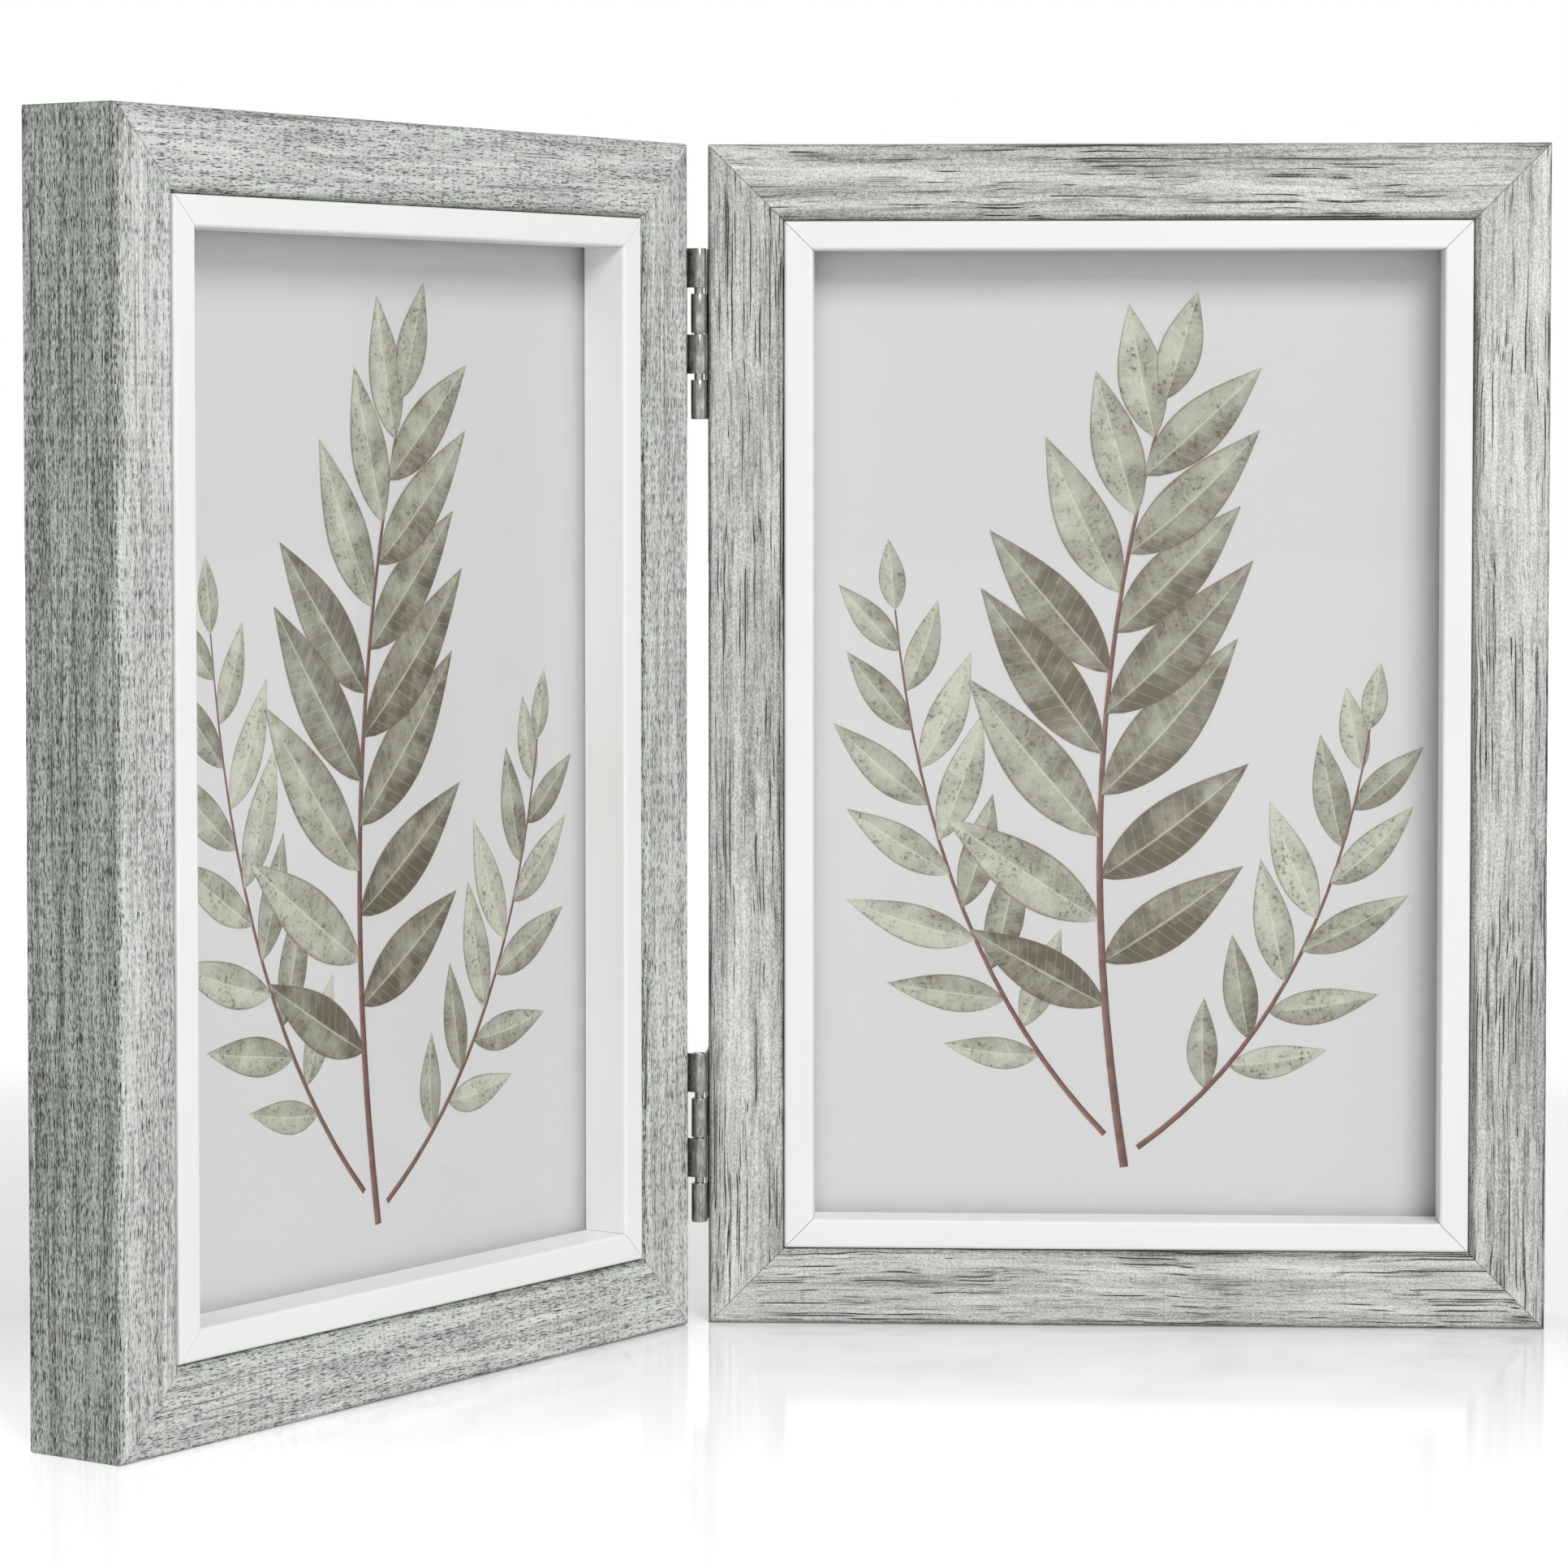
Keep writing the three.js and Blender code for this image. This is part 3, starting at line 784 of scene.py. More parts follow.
def ease_edges(shape: BMesh, width: float, steps: int = 2, sharper_than: float = 40.0) -> None:
    """Rounds the edges of a closed shape that are sharper than an angle.

    Args:
        shape: The shape.
        width: How far the rounding reaches from the edge.
        steps: Segments of the rounding.
        sharper_than: The least angle between the faces, in degrees.
    """
    face_out(shape)
    limit = math.radians(sharper_than)
    sharp = [edge for edge in shape.edges if edge.calc_face_angle(0.0) > limit]
    bmesh.ops.bevel(
        shape, geom=sharp, offset=width, offset_type="OFFSET", affect="EDGES", segments=steps, profile=0.5,
        material=-1, clamp_overlap=True,
    )


def cut_cross(shape: BMesh, top: float, half_width: float, arm: float, depth: float) -> None:
    """Sinks a cross recess into the top of a screw's head.

    Args:
        shape: The screw, head up on Z.
        top: Height below which nothing is cut.
        half_width: Half the width of an arm.
        arm: Reach of an arm from the axis.
        depth: Height of the recess's floor, above z = 0 or below it.
    """
    for axis in (Vector((1, 0, 0)), Vector((0, 1, 0))):
        for distance in (-arm, -half_width, half_width, arm):
            faces = [face for face in shape.faces if min(vert.co.z for vert in face.verts) > top]
            edges = {edge for face in faces for edge in face.edges}
            verts = {vert for face in faces for vert in face.verts}
            geometry = [*verts, *edges, *faces]
            bmesh.ops.bisect_plane(shape, geom=geometry, dist=WELD, plane_co=axis * distance, plane_no=axis)

    def inside(face: BMFace) -> bool:
        """Whether a face of the head lies on the cross."""
        middle = face.calc_center_median()
        near, far = sorted((abs(middle.x), abs(middle.y)))
        return middle.z > top and near < half_width and far < arm

    floor = bmesh.ops.extrude_face_region(shape, geom=[face for face in shape.faces if inside(face)])
    sunk = [item for item in floor["geom"] if isinstance(item, BMVert)]
    for vert in sunk:
        vert.co.z = depth
    bmesh.ops.scale(shape, vec=(CROSS_TAPER, CROSS_TAPER, 1.0), verts=sunk)


@dataclass
class Hinge:
    """A rolled butt hinge: two leaves with two knuckles each, on one pin, held by countersunk screws."""

    place: Place
    pin_radius: float = 0.7 * MM
    bore_radius: float = 0.8 * MM
    sheet: float = 0.4 * MM
    reach: float = 9.0 * MM
    corner_radius: float = 1.0 * MM
    root: float = 1.5 * MM
    length: float = 25.6 * MM
    knuckle: float = 5.9 * MM
    knuckle_step: float = 12.9 * MM
    seam_degrees: float = 57.0
    edge: float = 0.1 * MM
    screw_row: float = 5.25 * MM
    screw_spacing: float = 16.0 * MM
    screw_head: float = 1.5 * MM
    screw_shank: float = 0.75 * MM
    screw_length: float = 7.9 * MM
    screw_clearance: float = 0.15 * MM
    screw_rim: float = 0.08 * MM
    screw_bevel: float = 0.06 * MM
    cross_skin: float = 0.01 * MM
    cross_half: float = 0.22 * MM
    cross_arm: float = 0.85 * MM
    cross_depth: float = 0.6 * MM
    pin_round: float = 0.4 * MM
    roll_steps: int = 40
    round_steps: int = 40
    hole_steps: int = 32
    middle: float = field(init=False)

    def __post_init__(self) -> None:
        """Takes the hinge's height from its packed pin."""
        low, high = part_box(f"{self.place.value}_hinge_pin")
        self.middle = (low.z + high.z) / 2

    def screw_heights(self) -> tuple[tuple[str, float], tuple[str, float]]:
        """The names and heights of a leaf's two screws, about the hinge's middle."""
        return ("top", self.screw_spacing / 2), ("bottom", -self.screw_spacing / 2)

    def leaf(self) -> BMesh:
        """Builds one leaf about the pin's axis on Z, with its flat towards +Y.

        Returns:
            The leaf's shape.
        """
        shape = bmesh.new()
        low = -self.length / 2
        starts = (low, low + self.knuckle_step)
        ends = [start + self.knuckle for start in starts]
        root = [Vector((self.bore_radius, self.root, z)) for z in sorted((*starts, *ends, -low))]
        arc = self.corner_radius * (1 - math.cos(math.pi / 4))
        rounded = []
        for way in (1, -1):
            near, far = -low - self.corner_radius, self.reach - self.corner_radius
            corner = [(-low, far), (-low - arc, self.reach - arc), (near, self.reach)]
            rounded += [(way * z, y) for z, y in (corner if way > 0 else reversed(corner))]
        corners = [Vector((self.bore_radius, y, z)) for z, y in rounded]
        outline = chain(shape, [*root, *corners], closed=True)
        rims = []
        for _, height in self.screw_heights():
            hole = Matrix.Translation((self.bore_radius, self.screw_row, height))
            hole = hole @ Matrix.Rotation(QUARTER_TURN, 4, "Y")
            radius = self.screw_head + self.screw_clearance
            made = bmesh.ops.create_circle(shape, segments=self.hole_steps, radius=radius, matrix=hole)
            rims += {edge for vert in made["verts"] for edge in vert.link_edges}
        bmesh.ops.triangle_fill(shape, use_beauty=True, edges=[*outline, *rims])

        def rolls(edge: BMEdge) -> bool:
            """Whether an edge of the flat's root carries a knuckle."""
            first, last = sorted(vert.co.z for vert in edge.verts)
            on_root = all(abs(vert.co.y - self.root) < WELD for vert in edge.verts)
            return on_root and any(abs(first - a) + abs(last - b) < NEAR for a, b in zip(starts, ends))

        tongue = bmesh.ops.extrude_edge_only(shape, edges=[edge for edge in outline if rolls(edge)])
        moved = [item for item in tongue["geom"] if isinstance(item, BMVert)]
        bmesh.ops.translate(shape, vec=(0, -self.root, 0), verts=moved)
        lip = [item for item in tongue["geom"] if isinstance(item, BMEdge)]
        lip = [edge for edge in lip if all(abs(vert.co.y) < WELD for vert in edge.verts)]
        sweep = math.radians(self.seam_degrees) - FULL_TURN
        spun = {"cent": (0, 0, 0), "axis": (0, 0, 1), "angle": sweep, "steps": self.roll_steps}
        bmesh.ops.spin(shape, geom=[*moved, *lip], dvec=(0, 0, 0), use_merge=False, **spun)
        self.thicken(shape)
        return shape

    def thicken(self, shape: BMesh) -> None:
        """Gives the leaf's sheet its thickness, away from the pin, with countersunk holes and eased edges.

        Args:
            shape: The leaf as a sheet against the pin's bore.
        """
        bmesh.ops.remove_doubles(shape, verts=shape.verts, dist=WELD)
        face_out(shape)
        flat = next(face for face in shape.faces if face.calc_center_median().y > self.screw_row)
        if flat.normal.x > 0:
            bmesh.ops.reverse_faces(shape, faces=shape.faces)
        bmesh.ops.solidify(shape, geom=shape.faces, thickness=self.sheet)
        outer = self.bore_radius + self.sheet
        rim = self.screw_head + self.screw_clearance
        for _, height in self.screw_heights():
            centre = Vector((outer, self.screw_row, height))
            mouth = [vert for vert in shape.verts if abs((vert.co - centre).length - rim) < NEAR]
            narrow = (rim - self.sheet) / rim
            space = Matrix.Translation(-centre)
            bmesh.ops.scale(shape, vec=(1, narrow, narrow), space=space, verts=mouth)
        ease_edges(shape, self.edge)

    def pin(self) -> BMesh:
        """Builds the pin on Z, with rounded ends."""
        shape = bmesh.new()
        radius = self.pin_radius
        rod = {"segments": self.round_steps, "radius1": radius, "radius2": radius, "depth": self.length}
        bmesh.ops.create_cone(shape, cap_ends=True, **rod)
        ease_edges(shape, self.pin_round, 4)
        return shape

    def screw(self) -> BMesh:
        """Builds a countersunk screw, head face on z = 0 and point down, with a cross recess."""
        shape = bmesh.new()
        tip = -self.screw_length
        profile = [
            (0.0, tip),
            (self.screw_shank, tip + self.screw_shank),
            (self.screw_shank, self.screw_shank - self.screw_head),
            (self.screw_head, -self.screw_rim),
            (self.screw_head - self.screw_bevel, 0.0),
            (0.0, 0.0),
        ]
        turned(shape, profile, self.round_steps)
        cut_cross(shape, -self.cross_skin, self.cross_half, self.cross_arm, -self.cross_depth)
        return shape

    def build(self, nickel: bpy.types.Material) -> None:
        """Makes the hinge's leaves, pin and screws.

        Args:
            nickel: Their finish.
        """
        name = f"{self.place.value}_hinge"
        up = Matrix.Translation((0, 0, self.middle))
        for side in Side:
            leaf = f"{name}_{side.value}_leaf"
            place = up @ side.leaf_place
            seat = Seat(side.body, "hinge_steel", (leaf,))
            finish_piece(f"{leaf}_rolled", self.leaf(), nickel, place, seat)
            for end, height in self.screw_heights():
                node = f"{name}_{side.value}_{end}_screw"
                stand = Matrix.Translation((self.bore_radius, self.screw_row, side.way * height))
                stand = place @ stand @ Matrix.Rotation(-QUARTER_TURN, 4, "Y")
                seat = Seat(side.body, "screw_steel", (node,))
                finish_piece(f"{node}_crossed", self.screw(), nickel, stand, seat)
        seat = Seat(Side.RIGHT.body, "hinge_steel", (f"{name}_pin",))
        finish_piece(f"{name}_pin_rod", self.pin(), nickel, up @ Side.RIGHT.place, seat)


@dataclass
class TurnButton:
    """A sprung steel turn button that swivels on a domed screw and holds the backing board.

    The cross recess's top and floor are shares of the screw head's height.
    """

    pivot_radius: float = 4.0 * MM
    tip_radius: float = 2.4 * MM
    reach: float = 11.0 * MM
    sheet: float = 0.7 * MM
    flat: float = 9.0 * MM
    lift_degrees: float = 22.0
    seat_gap: float = 0.3 * MM
    bore: float = 1.15 * MM
    head_radius: float = 2.3 * MM
    head_height: float = 1.6 * MM
    shank: float = 1.0 * MM
    shank_length: float = 11.3 * MM
    edge: float = 0.12 * MM
    cross_half: float = 0.28 * MM
    cross_arm: float = 1.2 * MM
    cross_top: float = 0.5
    cross_floor: float = 0.35
    bend_pitch: float = 0.3 * MM
    bend_steps: int = 4
    pivot_steps: int = 40
    tip_steps: int = 20
    hole_steps: int = 32
    dome_steps: int = 10
    round_steps: int = 48

    def plate(self) -> BMesh:
        """Builds the button with its pivot on the origin and its tip along +X, bent up in +Z.

        Returns:
            The button's shape.
        """
        shape = bmesh.new()
        flank = math.acos((self.pivot_radius - self.tip_radius) / self.reach)
        rounds = (
            (0.0, self.pivot_radius, flank, FULL_TURN - 2 * flank, self.pivot_steps),
            (self.reach, self.tip_radius, -flank, 2 * flank, self.tip_steps),
        )
        points = []
        for centre, radius, start, sweep, steps in rounds:
            angles = [start + sweep * step / steps for step in range(steps + 1)]
            points += [Vector((centre + radius * math.cos(a), radius * math.sin(a), 0.0)) for a in angles]
        edges = chain(shape, points, closed=True)
        hole = bmesh.ops.create_circle(shape, segments=self.hole_steps, radius=self.bore)
        edges += {edge for vert in hole["verts"] for edge in vert.link_edges}
        bmesh.ops.triangle_fill(shape, use_beauty=True, edges=edges)
        self.bend(shape)
        face_out(shape)
        if next(iter(shape.faces)).normal.z > 0:
            bmesh.ops.reverse_faces(shape, faces=shape.faces)
        bmesh.ops.solidify(shape, geom=shape.faces, thickness=self.sheet)
        ease_edges(shape, self.edge)
        return shape

    def bend(self, shape: BMesh) -> None:
        """Bends the button's tip up in a few small folds.

        Args:
            shape: The flat button.
        """
        fold = math.radians(self.lift_degrees) / self.bend_steps
        for step in range(self.bend_steps):
            start = self.flat + (step - (self.bend_steps - 1) / 2) * self.bend_pitch
            line = Vector((start, 0, 0))
            geometry = [*shape.verts, *shape.edges, *shape.faces]
            bmesh.ops.bisect_plane(shape, geom=geometry, dist=WELD, plane_co=line, plane_no=(1, 0, 0))
            beyond = [vert for vert in shape.verts if vert.co.x > start + WELD]
            height = max((vert.co.z for vert in shape.verts if abs(vert.co.x - start) < WELD), default=0.0)
            centre = Vector((start, 0, height))
            bmesh.ops.rotate(shape, cent=centre, matrix=Matrix.Rotation(-fold, 3, "Y"), verts=beyond)

    def screw(self) -> BMesh:
        """Builds the domed screw, underside of its head on z = 0 and point down, with a cross recess."""
        shape = bmesh.new()
        tip = -self.shank_length
        profile = [(0.0, tip), (self.shank, tip + self.shank), (self.shank, 0.0), (self.head_radius, 0.0)]
        for step in range(1, self.dome_steps):
            angle = QUARTER_TURN * step / self.dome_steps
            profile.append((self.head_radius * math.cos(angle), self.head_height * math.sin(angle)))
        profile.append((0.0, self.head_height))
        turned(shape, profile, self.round_steps)
        top, floor = self.cross_top * self.head_height, self.cross_floor * self.head_height
        cut_cross(shape, top, self.cross_half, self.cross_arm, floor)
        return shape

    def build(self, side: Side, zinc: bpy.types.Material) -> None:
        """Makes the four turn buttons of one frame and their screws.

        Args:
            side: The frame.
            zinc: Their finish.
        """
        for stile, way in (("hinge", side.way), ("outer", -side.way)):
            for place in Place:
                node = f"{side.value}_{stile}_{place.value}_button"
                pivot = Vector(JOINTS[f"{node}_turn"]["pos_m"])
                turn = side.turn.to_4x4() @ Matrix.Rotation(-QUARTER_TURN, 4, "X")
                if way < 0:
                    turn = turn @ Matrix.Rotation(math.pi, 4, "Z")
                stand = Matrix.Translation(pivot) @ turn
                under = stand @ Matrix.Translation((0, 0, self.seat_gap))
                seat = Seat(node, "button_steel", (node,))
                finish_piece(f"{node}_plate", self.plate(), zinc, under, seat)
                head = stand @ Matrix.Translation((0, 0, 2 * self.seat_gap + self.sheet))
                seat = Seat(side.body, "screw_steel", (f"{node}_screw",))
                finish_piece(f"{node}_screw_crossed", self.screw(), zinc, head, seat)


@dataclass
class CornerNails:
    """V-nails across the back of each mitre of one frame, inset by a share of the moulding's width."""

    side: Side
    leg: float = 4.2 * MM
    sheet: float = 0.4 * MM
    buried: float = 3.0 * MM
    proud: float = 0.06 * MM
    edge: float = 0.05 * MM
    inset_share: float = 0.4

    def nail(self) -> BMesh:
        """Builds one nail: its apex on the origin, legs along +X and +Z, proud in +Y."""
        shape = bmesh.new()
        legs = chain(shape, [Vector((self.leg, 0, 0)), Vector((0, 0, 0)), Vector((0, 0, self.leg))])
        wall = bmesh.ops.extrude_edge_only(shape, edges=legs)
        moved = [item for item in wall["geom"] if isinstance(item, BMVert)]
        bmesh.ops.translate(shape, vec=(0, -self.buried, 0), verts=moved)
        bmesh.ops.translate(shape, vec=(0, self.proud, 0), verts=shape.verts)
        face_out(shape)
        bmesh.ops.solidify(shape, geom=shape.faces, thickness=self.sheet)
        ease_edges(shape, self.edge, 1)
        return shape

    def build(self, steel: bpy.types.Material) -> None:
        """Makes the nails of all four corners as one piece.

        Args:
            steel: Their finish.
        """
        low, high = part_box("right_top_rail")
        half = (high.x - low.x) / 2
        across = half + low.x - HINGE_AXIS.x
        height = high.z
        inset = (high.z - low.z) * self.inset_share
        shape = bmesh.new()
        for right in (-1, 1):
            for up in (-1, 1):
                one = self.nail()
                corner = Vector((self.side.way * across + right * (half - inset), 0, 0))
                corner.y = high.y - HINGE_AXIS.y
                corner.z = height / 2 + up * (height / 2 - inset)
                turn = Matrix.Diagonal((-right, 1, -up, 1))
                bmesh.ops.transform(one, matrix=Matrix.Translation(corner) @ turn, verts=one.verts)
                loose = bpy.data.meshes.new("nail")
                one.to_mesh(loose)
                one.free()
                shape.from_mesh(loose)
                bpy.data.meshes.remove(loose)
        seat = Seat(self.side.body, "screw_steel")
        finish_piece(f"{self.side.value}_corner_nails", shape, steel, self.side.place, seat)


@dataclass(frozen=True)
class Sprig:
    """A printed sprig: a bowed stem with slender leaves on both sides, in millimetres on the card."""

    base: tuple[float, float]
    bow: tuple[float, float]
    tip: tuple[float, float]
    leaves: int
    leaf_length: float
    leaf_width: float
    stem_width: float
    tone: float
    bare: float = 0.2
    taper: float = 0.7

    def point(self, share: float) -> Vector:
        """The point of the stem at a share of its length."""
        base, bow, tip = (Vector(p) for p in (self.base, self.bow, self.tip))
        return base.lerp(bow, share).lerp(bow.lerp(tip, share), share)

    def heading(self, share: float) -> float:
        """The stem's direction at a share of its length, in radians from the card's X axis."""
        step = 0.01
        way = self.point(min(share + step, 1.0)) - self.point(max(share - step, 0.0))
        return math.atan2(way.y, way.x)

    def stem(self) -> Outline:
        """The outline of the stem, tapering to its tip."""

        def outline(along: float, across: float) -> Vector:
            """The point at a share of the stem's length and half width."""
            heading = self.heading(along)
            aside = Vector((-math.sin(heading), math.cos(heading)))
            return self.point(along) + aside * (across * self.stem_width * (1 - self.taper * along) / 2)

        return outline

    def leaf(self, share: float, lean: float, size: float, curl: float) -> Outline:
        """The outline of a lance-shaped leaf.

        Args:
            share: Where on the stem it grows.
            lean: Its direction from the stem's, in radians.
            size: Its length as a share of the longest leaf's.
            curl: How far its tip bends aside, as a share of its length.

        Returns:
            The point for a share along the leaf, 0 to 1, and across it, -1 to 1.
        """
        heading = self.heading(share) + lean
        ahead = Vector((math.cos(heading), math.sin(heading)))
        aside = Vector((-ahead.y, ahead.x))
        length = self.leaf_length * size
        width = self.leaf_width * (0.3 + 0.7 * size)

        def outline(along: float, across: float) -> Vector:
            """The point at a share of the leaf's length and half width."""
            swell = math.sin(math.pi * along**0.8) if 0 < along < 1 else 0.0
            bend = curl * length * along * along
            off = bend + across * swell * width / 2
            return self.point(share) + ahead * (along * length) + aside * off

        return outline


@dataclass
class InsertPrint:
    """The botanical print on the insert card: upright sprigs, as thin layers of ink on the card.

    A leaf leans from its stem by degrees that fall towards the tip. Leaves stray a little from that, in
    radians, and differ in size and tone, and in curl, which is a share of their length.
    """

    side: Side
    sprigs: tuple[Sprig, ...] = (
        Sprig((-3, 12), (-30, 40), (-35, 92), 14, 20.0, 6.0, 0.9, 0.75),
        Sprig((2, 10), (30, 30), (37, 74), 12, 19.0, 5.8, 0.9, 0.7),
        Sprig((0, 7), (-10, 70), (6, 124), 16, 31.0, 9.4, 1.3, 0.42),
    )
    levels: int = 8
    layer: float = 0.003 * MM
    ink: float = 0.0015 * MM
    weld: float = 1e-8
    rows: int = 16
    columns: int = 4
    lean_degrees: float = 58.0
    lean_fall: float = 30.0
    lean_stray: float = 0.12
    size_range: tuple[float, float] = (0.9, 1.06)
    curl_range: tuple[float, float] = (0.02, 0.16)
    tone_stray: float = 0.32
    seed: int = 11

    def blade(self, shape: BMesh, outline: Outline, tone: float, level: int) -> None:
        """Adds one leaf or stem as a flat blade of ink.

        Args:
            shape: Where it goes.
            outline: The point on the card for a share along the blade, 0 to 1, and across it, -1 to 1.
            tone: How light it is printed.
            level: Its order on the card, the lowest first.
        """
        cells = {"x_segments": self.rows, "y_segments": self.columns}
        made = bmesh.ops.create_grid(shape, size=0.5, calc_uvs=True, **cells)
        tones = shape.verts.layers.float[LEAF_TONE]
        height = (level + 1) * self.layer
        for vert in made["verts"]:
            spot = outline(vert.co.x + 0.5, 2 * vert.co.y) * MM
            vert.co = (spot.x, -height, spot.y)
            vert[tones] = tone
        bmesh.ops.remove_doubles(shape, verts=made["verts"], dist=self.weld)

    def sheet(self) -> BMesh:
        """An empty shape with a grid along each blade and a tone for each leaf."""
        shape = bmesh.new()
        shape.loops.layers.uv.new(LEAF_UV)
        shape.verts.layers.float.new(LEAF_TONE)
        return shape

    def draw(self, leaves: BMesh, stems: BMesh) -> None:
        """Draws the sprigs, each above the one before it.

        Args:
            leaves: Where the leaves go.
            stems: Where the stems go.
        """
        chance = random.Random(self.seed)
        for number, sprig in enumerate(self.sprigs):
            lowest = number * (self.levels + 1)
            self.blade(stems, sprig.stem(), sprig.tone, lowest + self.levels // 2)
            for count in range(sprig.leaves):
                grown = count / (sprig.leaves - 1)
                share = sprig.bare + (1 - sprig.bare) * grown
                way = 0 if count == sprig.leaves - 1 else (-1) ** count
                lean = math.radians(self.lean_degrees - self.lean_fall * grown)
                lean = way * (lean + chance.uniform(-self.lean_stray, self.lean_stray))
                size = math.sin(math.pi * (0.24 + 0.6 * grown)) ** 0.8 * chance.uniform(*self.size_range)
                curl = -way * chance.uniform(*self.curl_range)
                tone = sprig.tone + chance.uniform(-self.tone_stray, self.tone_stray)
                level = count % self.levels
                level += level >= self.levels // 2
                self.blade(leaves, sprig.leaf(share, lean, size, curl), tone, lowest + level)

    def build(self, leaf_ink: bpy.types.Material, stem_ink: bpy.types.Material) -> None:
        """Prints the sprigs on one card.

        Args:
            leaf_ink: The leaves' finish.
            stem_ink: The stems' finish.
        """
        leaves, stems = self.sheet(), self.sheet()
        self.draw(leaves, stems)
        low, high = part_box("right_print")
        foot = Vector((self.side.way * ((low.x + high.x) / 2 - HINGE_AXIS.x), low.y - HINGE_AXIS.y, 0.0))
        foot.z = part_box("right_bottom_slip")[1].z
        place = self.side.place @ Matrix.Translation(foot)
        seat = Seat(self.side.body, "print")
        for part, shape, finish in (("stems", stems, stem_ink), ("leaves", leaves, leaf_ink)):
            face_out(shape)
            bmesh.ops.solidify(shape, geom=shape.faces, thickness=self.ink)
            finish_piece(f"{self.side.value}_print_{part}", shape, finish, place, seat)


@dataclass
class FrameDress:
    """Dresses one frame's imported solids: moulding, slips and panels."""

    side: Side
    wood: GreyWood
    seed: int
    members: tuple[tuple[str, GrainRun], ...] = (
        ("bottom", GrainRun.ACROSS),
        ("top", GrainRun.ACROSS),
        ("hinge", GrainRun.UPRIGHT),
        ("outer", GrainRun.UPRIGHT),
    )

    def moulding(self) -> None:
        """Gives each length of moulding a stretch of grain of its own."""
        for number, (part, run) in enumerate(self.members):
            node = f"{self.side.value}_{part}_{run.value}"
            dress(node, self.wood.material(f"{node}_grain", self.side, run, self.seed + number))

    def slips(self, paint: bpy.types.Material) -> None:
        """Paints the four slips."""
        for part, _ in self.members:
            dress(f"{self.side.value}_{part}_slip", paint)

    def panels(self, finishes: dict[str, bpy.types.Material]) -> None:
        """Dresses the panels behind the slips, from the glass to the backing board."""
        for part, finish in finishes.items():
            dress(f"{self.side.value}_{part}", finish)


@dataclass(frozen=True)
class Lamp:
    """A square soft lamp that faces the object."""

    name: str
    spot: tuple[float, float, float]
    size: float
    power: float


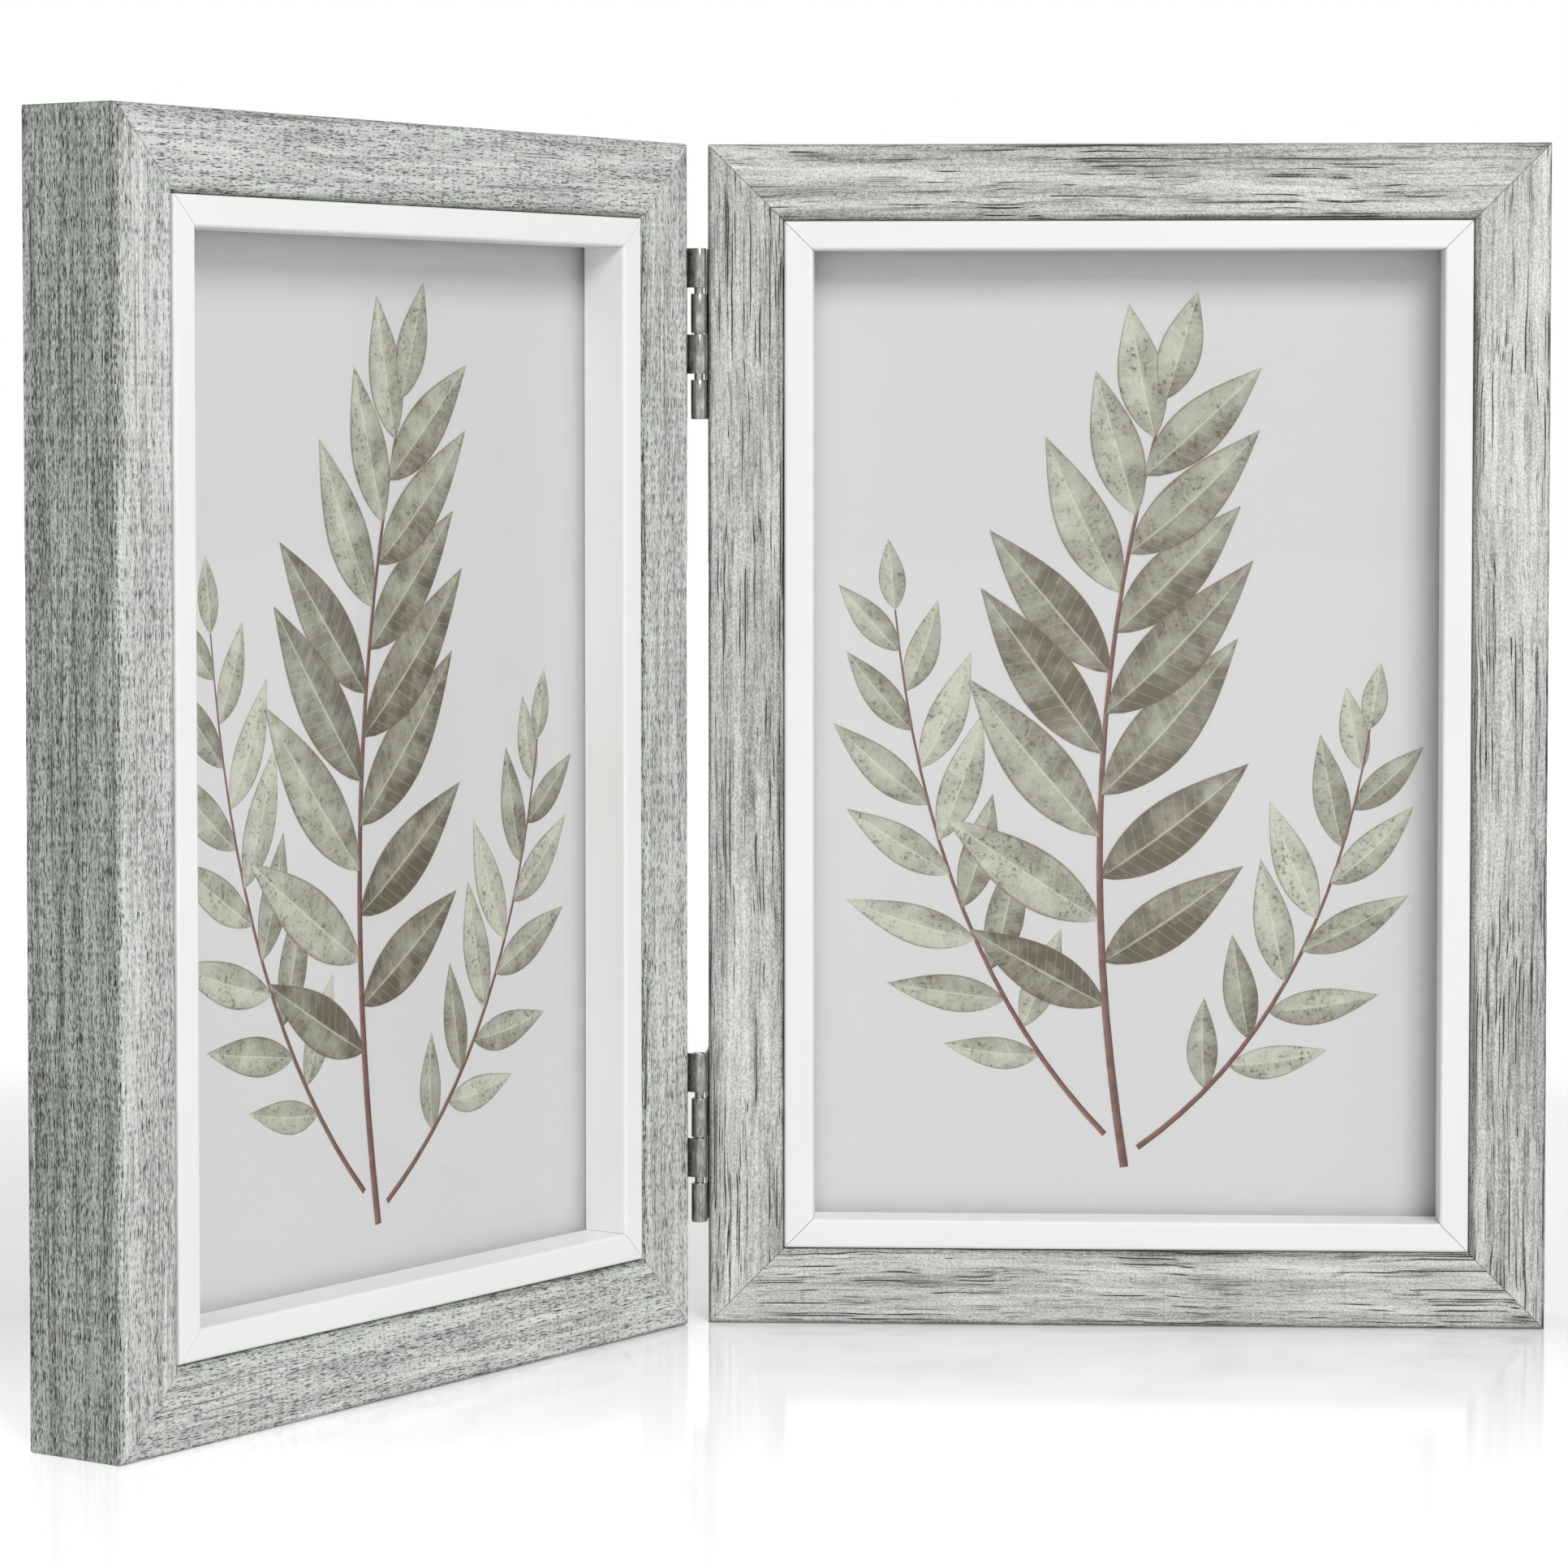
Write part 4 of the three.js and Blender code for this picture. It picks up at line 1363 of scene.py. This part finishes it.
@dataclass
class Studio:
    """A white table and surround under soft lamps, and the camera at the photograph's angle."""

    eye: tuple[float, float, float] = (0.02539, -0.71056, 0.13714)
    yaw_degrees: float = 2.638
    pitch_degrees: float = 2.576
    lens: float = 115.31
    sensor: float = 36.0
    shift_up: float = -0.09
    table_size: float = 8.0
    table_drop: float = 0.05 * MM
    table_white: float = 0.86
    table_bend: float = 1.45
    table_roughness: float = 0.11
    # The table glows less at the frames' foot than in front of them: painted shade near the object.
    shaded_foot_glow: float = 0.11
    front_glow: float = 0.41
    front_ends: tuple[float, float] = (44.0, -60.0)
    far_ends: tuple[float, float] = (250.0, 900.0)
    sky: float = 0.45
    aim: tuple[float, float, float] = (0.0, 0.0, 0.09)
    lamps: tuple[Lamp, ...] = (
        Lamp("key", (0.54, -1.305, 1.05), 0.6, 15.5),
        Lamp("fill", (1.5, -0.5, 0.5), 1.0, 1.2),
        Lamp("back", (-0.9, 1.2, 1.0), 1.2, 4.0),
    )

    def camera(self) -> None:
        """Sets the camera up."""
        data = bpy.data.cameras.new("camera")
        data.lens = self.lens
        data.sensor_width = self.sensor
        data.shift_y = self.shift_up
        data.clip_start = 0.01
        data.clip_end = 100.0
        camera = add_object("camera", data)
        camera.location = self.eye
        tilt = QUARTER_TURN - math.radians(self.pitch_degrees)
        camera.rotation_euler = (tilt, 0.0, math.radians(self.yaw_degrees))
        bpy.context.scene.camera = camera

    def table(self) -> None:
        """Lays the white table, which keeps the object's shadow and a faint reflection, with painted shade
        where its glow is weaker near the object's foot.
        """
        shape = bmesh.new()
        bmesh.ops.create_grid(shape, x_segments=2, y_segments=2, size=self.table_size / 2)
        bmesh.ops.translate(shape, vec=(0, 0, -self.table_drop), verts=shape.verts)
        mesh = bpy.data.meshes.new("table")
        shape.to_mesh(mesh)
        shape.free()
        graph = new_material("white_table")
        white = (self.table_white, self.table_white, self.table_white, 1.0)
        matt = graph.node("BsdfDiffuse", {"Color": white}).outputs[0]
        rim = graph.node("Fresnel", {"IOR": self.table_bend}).outputs[0]
        lit = graph.mixed(rim, matt, graph.gloss(self.table_roughness))
        own = graph.plain_millimetres()
        _, behind, _ = graph.split(own)
        away = graph.node("VectorMath", {0: own}, operation="LENGTH").outputs["Value"]
        # Weaker glow near the frames' foot than in front: painted shade on the table near the object.
        glow = graph.spread(behind, *self.front_ends, self.shaded_foot_glow, self.front_glow)
        glow = graph.maths("MAXIMUM", glow, graph.spread(away, *self.far_ends))
        glow = graph.maths("MULTIPLY", glow, graph.seen())
        lift = graph.node("Emission", {"Strength": glow}).outputs[0]
        mesh.materials.append(graph.finish(graph.node("AddShader", {0: lit, 1: lift}).outputs[0]))
        table = add_object("table", mesh)

    def surround(self) -> None:
        """Makes the world: white where it is seen, a soft even light elsewhere."""
        world = bpy.data.worlds.new("surround")
        bpy.context.scene.world = world
        graph = Graph(world)
        strength = graph.spread(graph.seen(), 0.0, 1.0, self.sky, 1.0)
        graph.finish(graph.node("Background", {"Color": WHITE, "Strength": strength}).outputs[0])

    def light(self) -> None:
        """Hangs the lamps."""
        for lamp in self.lamps:
            data = bpy.data.lights.new(lamp.name, "AREA")
            data.size = lamp.size
            data.energy = lamp.power
            hung = add_object(lamp.name, data)
            hung.location = lamp.spot
            way = Vector(self.aim) - Vector(lamp.spot)
            hung.rotation_euler = way.to_track_quat("-Z", "Y").to_euler()

    def build(self) -> None:
        """Sets the whole studio up."""
        self.camera()
        self.table()
        self.surround()
        self.light()


def main() -> None:
    """Builds the frames and the studio."""
    logging.basicConfig(level=logging.INFO, format="%(message)s")
    bpy.context.scene.view_settings.view_transform = "Standard"
    paint = WhitePaint().material()
    glass, card, filler = ClearGlass().material(), InsertCard().material(), Kraft().material()
    nickel, zinc = NICKEL.material(), ZINC.material()
    leaf_ink, stem_ink = LeafInk().material(), StemInk().material()
    for side, wood, seed in ((Side.RIGHT, CRACKED_GREY, 20), (Side.LEFT, PORED_GREY, 40)):
        dresser = FrameDress(side, wood, seed)
        dresser.moulding()
        dresser.slips(paint)
        board = Hardboard().material(side)
        dresser.panels({"glass": glass, "print": card, "filler_card": filler, "backing_board": board})
        InsertPrint(side).build(leaf_ink, stem_ink)
        TurnButton().build(side, zinc)
        CornerNails(side).build(nickel)
    for place in Place:
        Hinge(place).build(nickel)
    Studio().build()


if __name__ == "__main__":
    main()
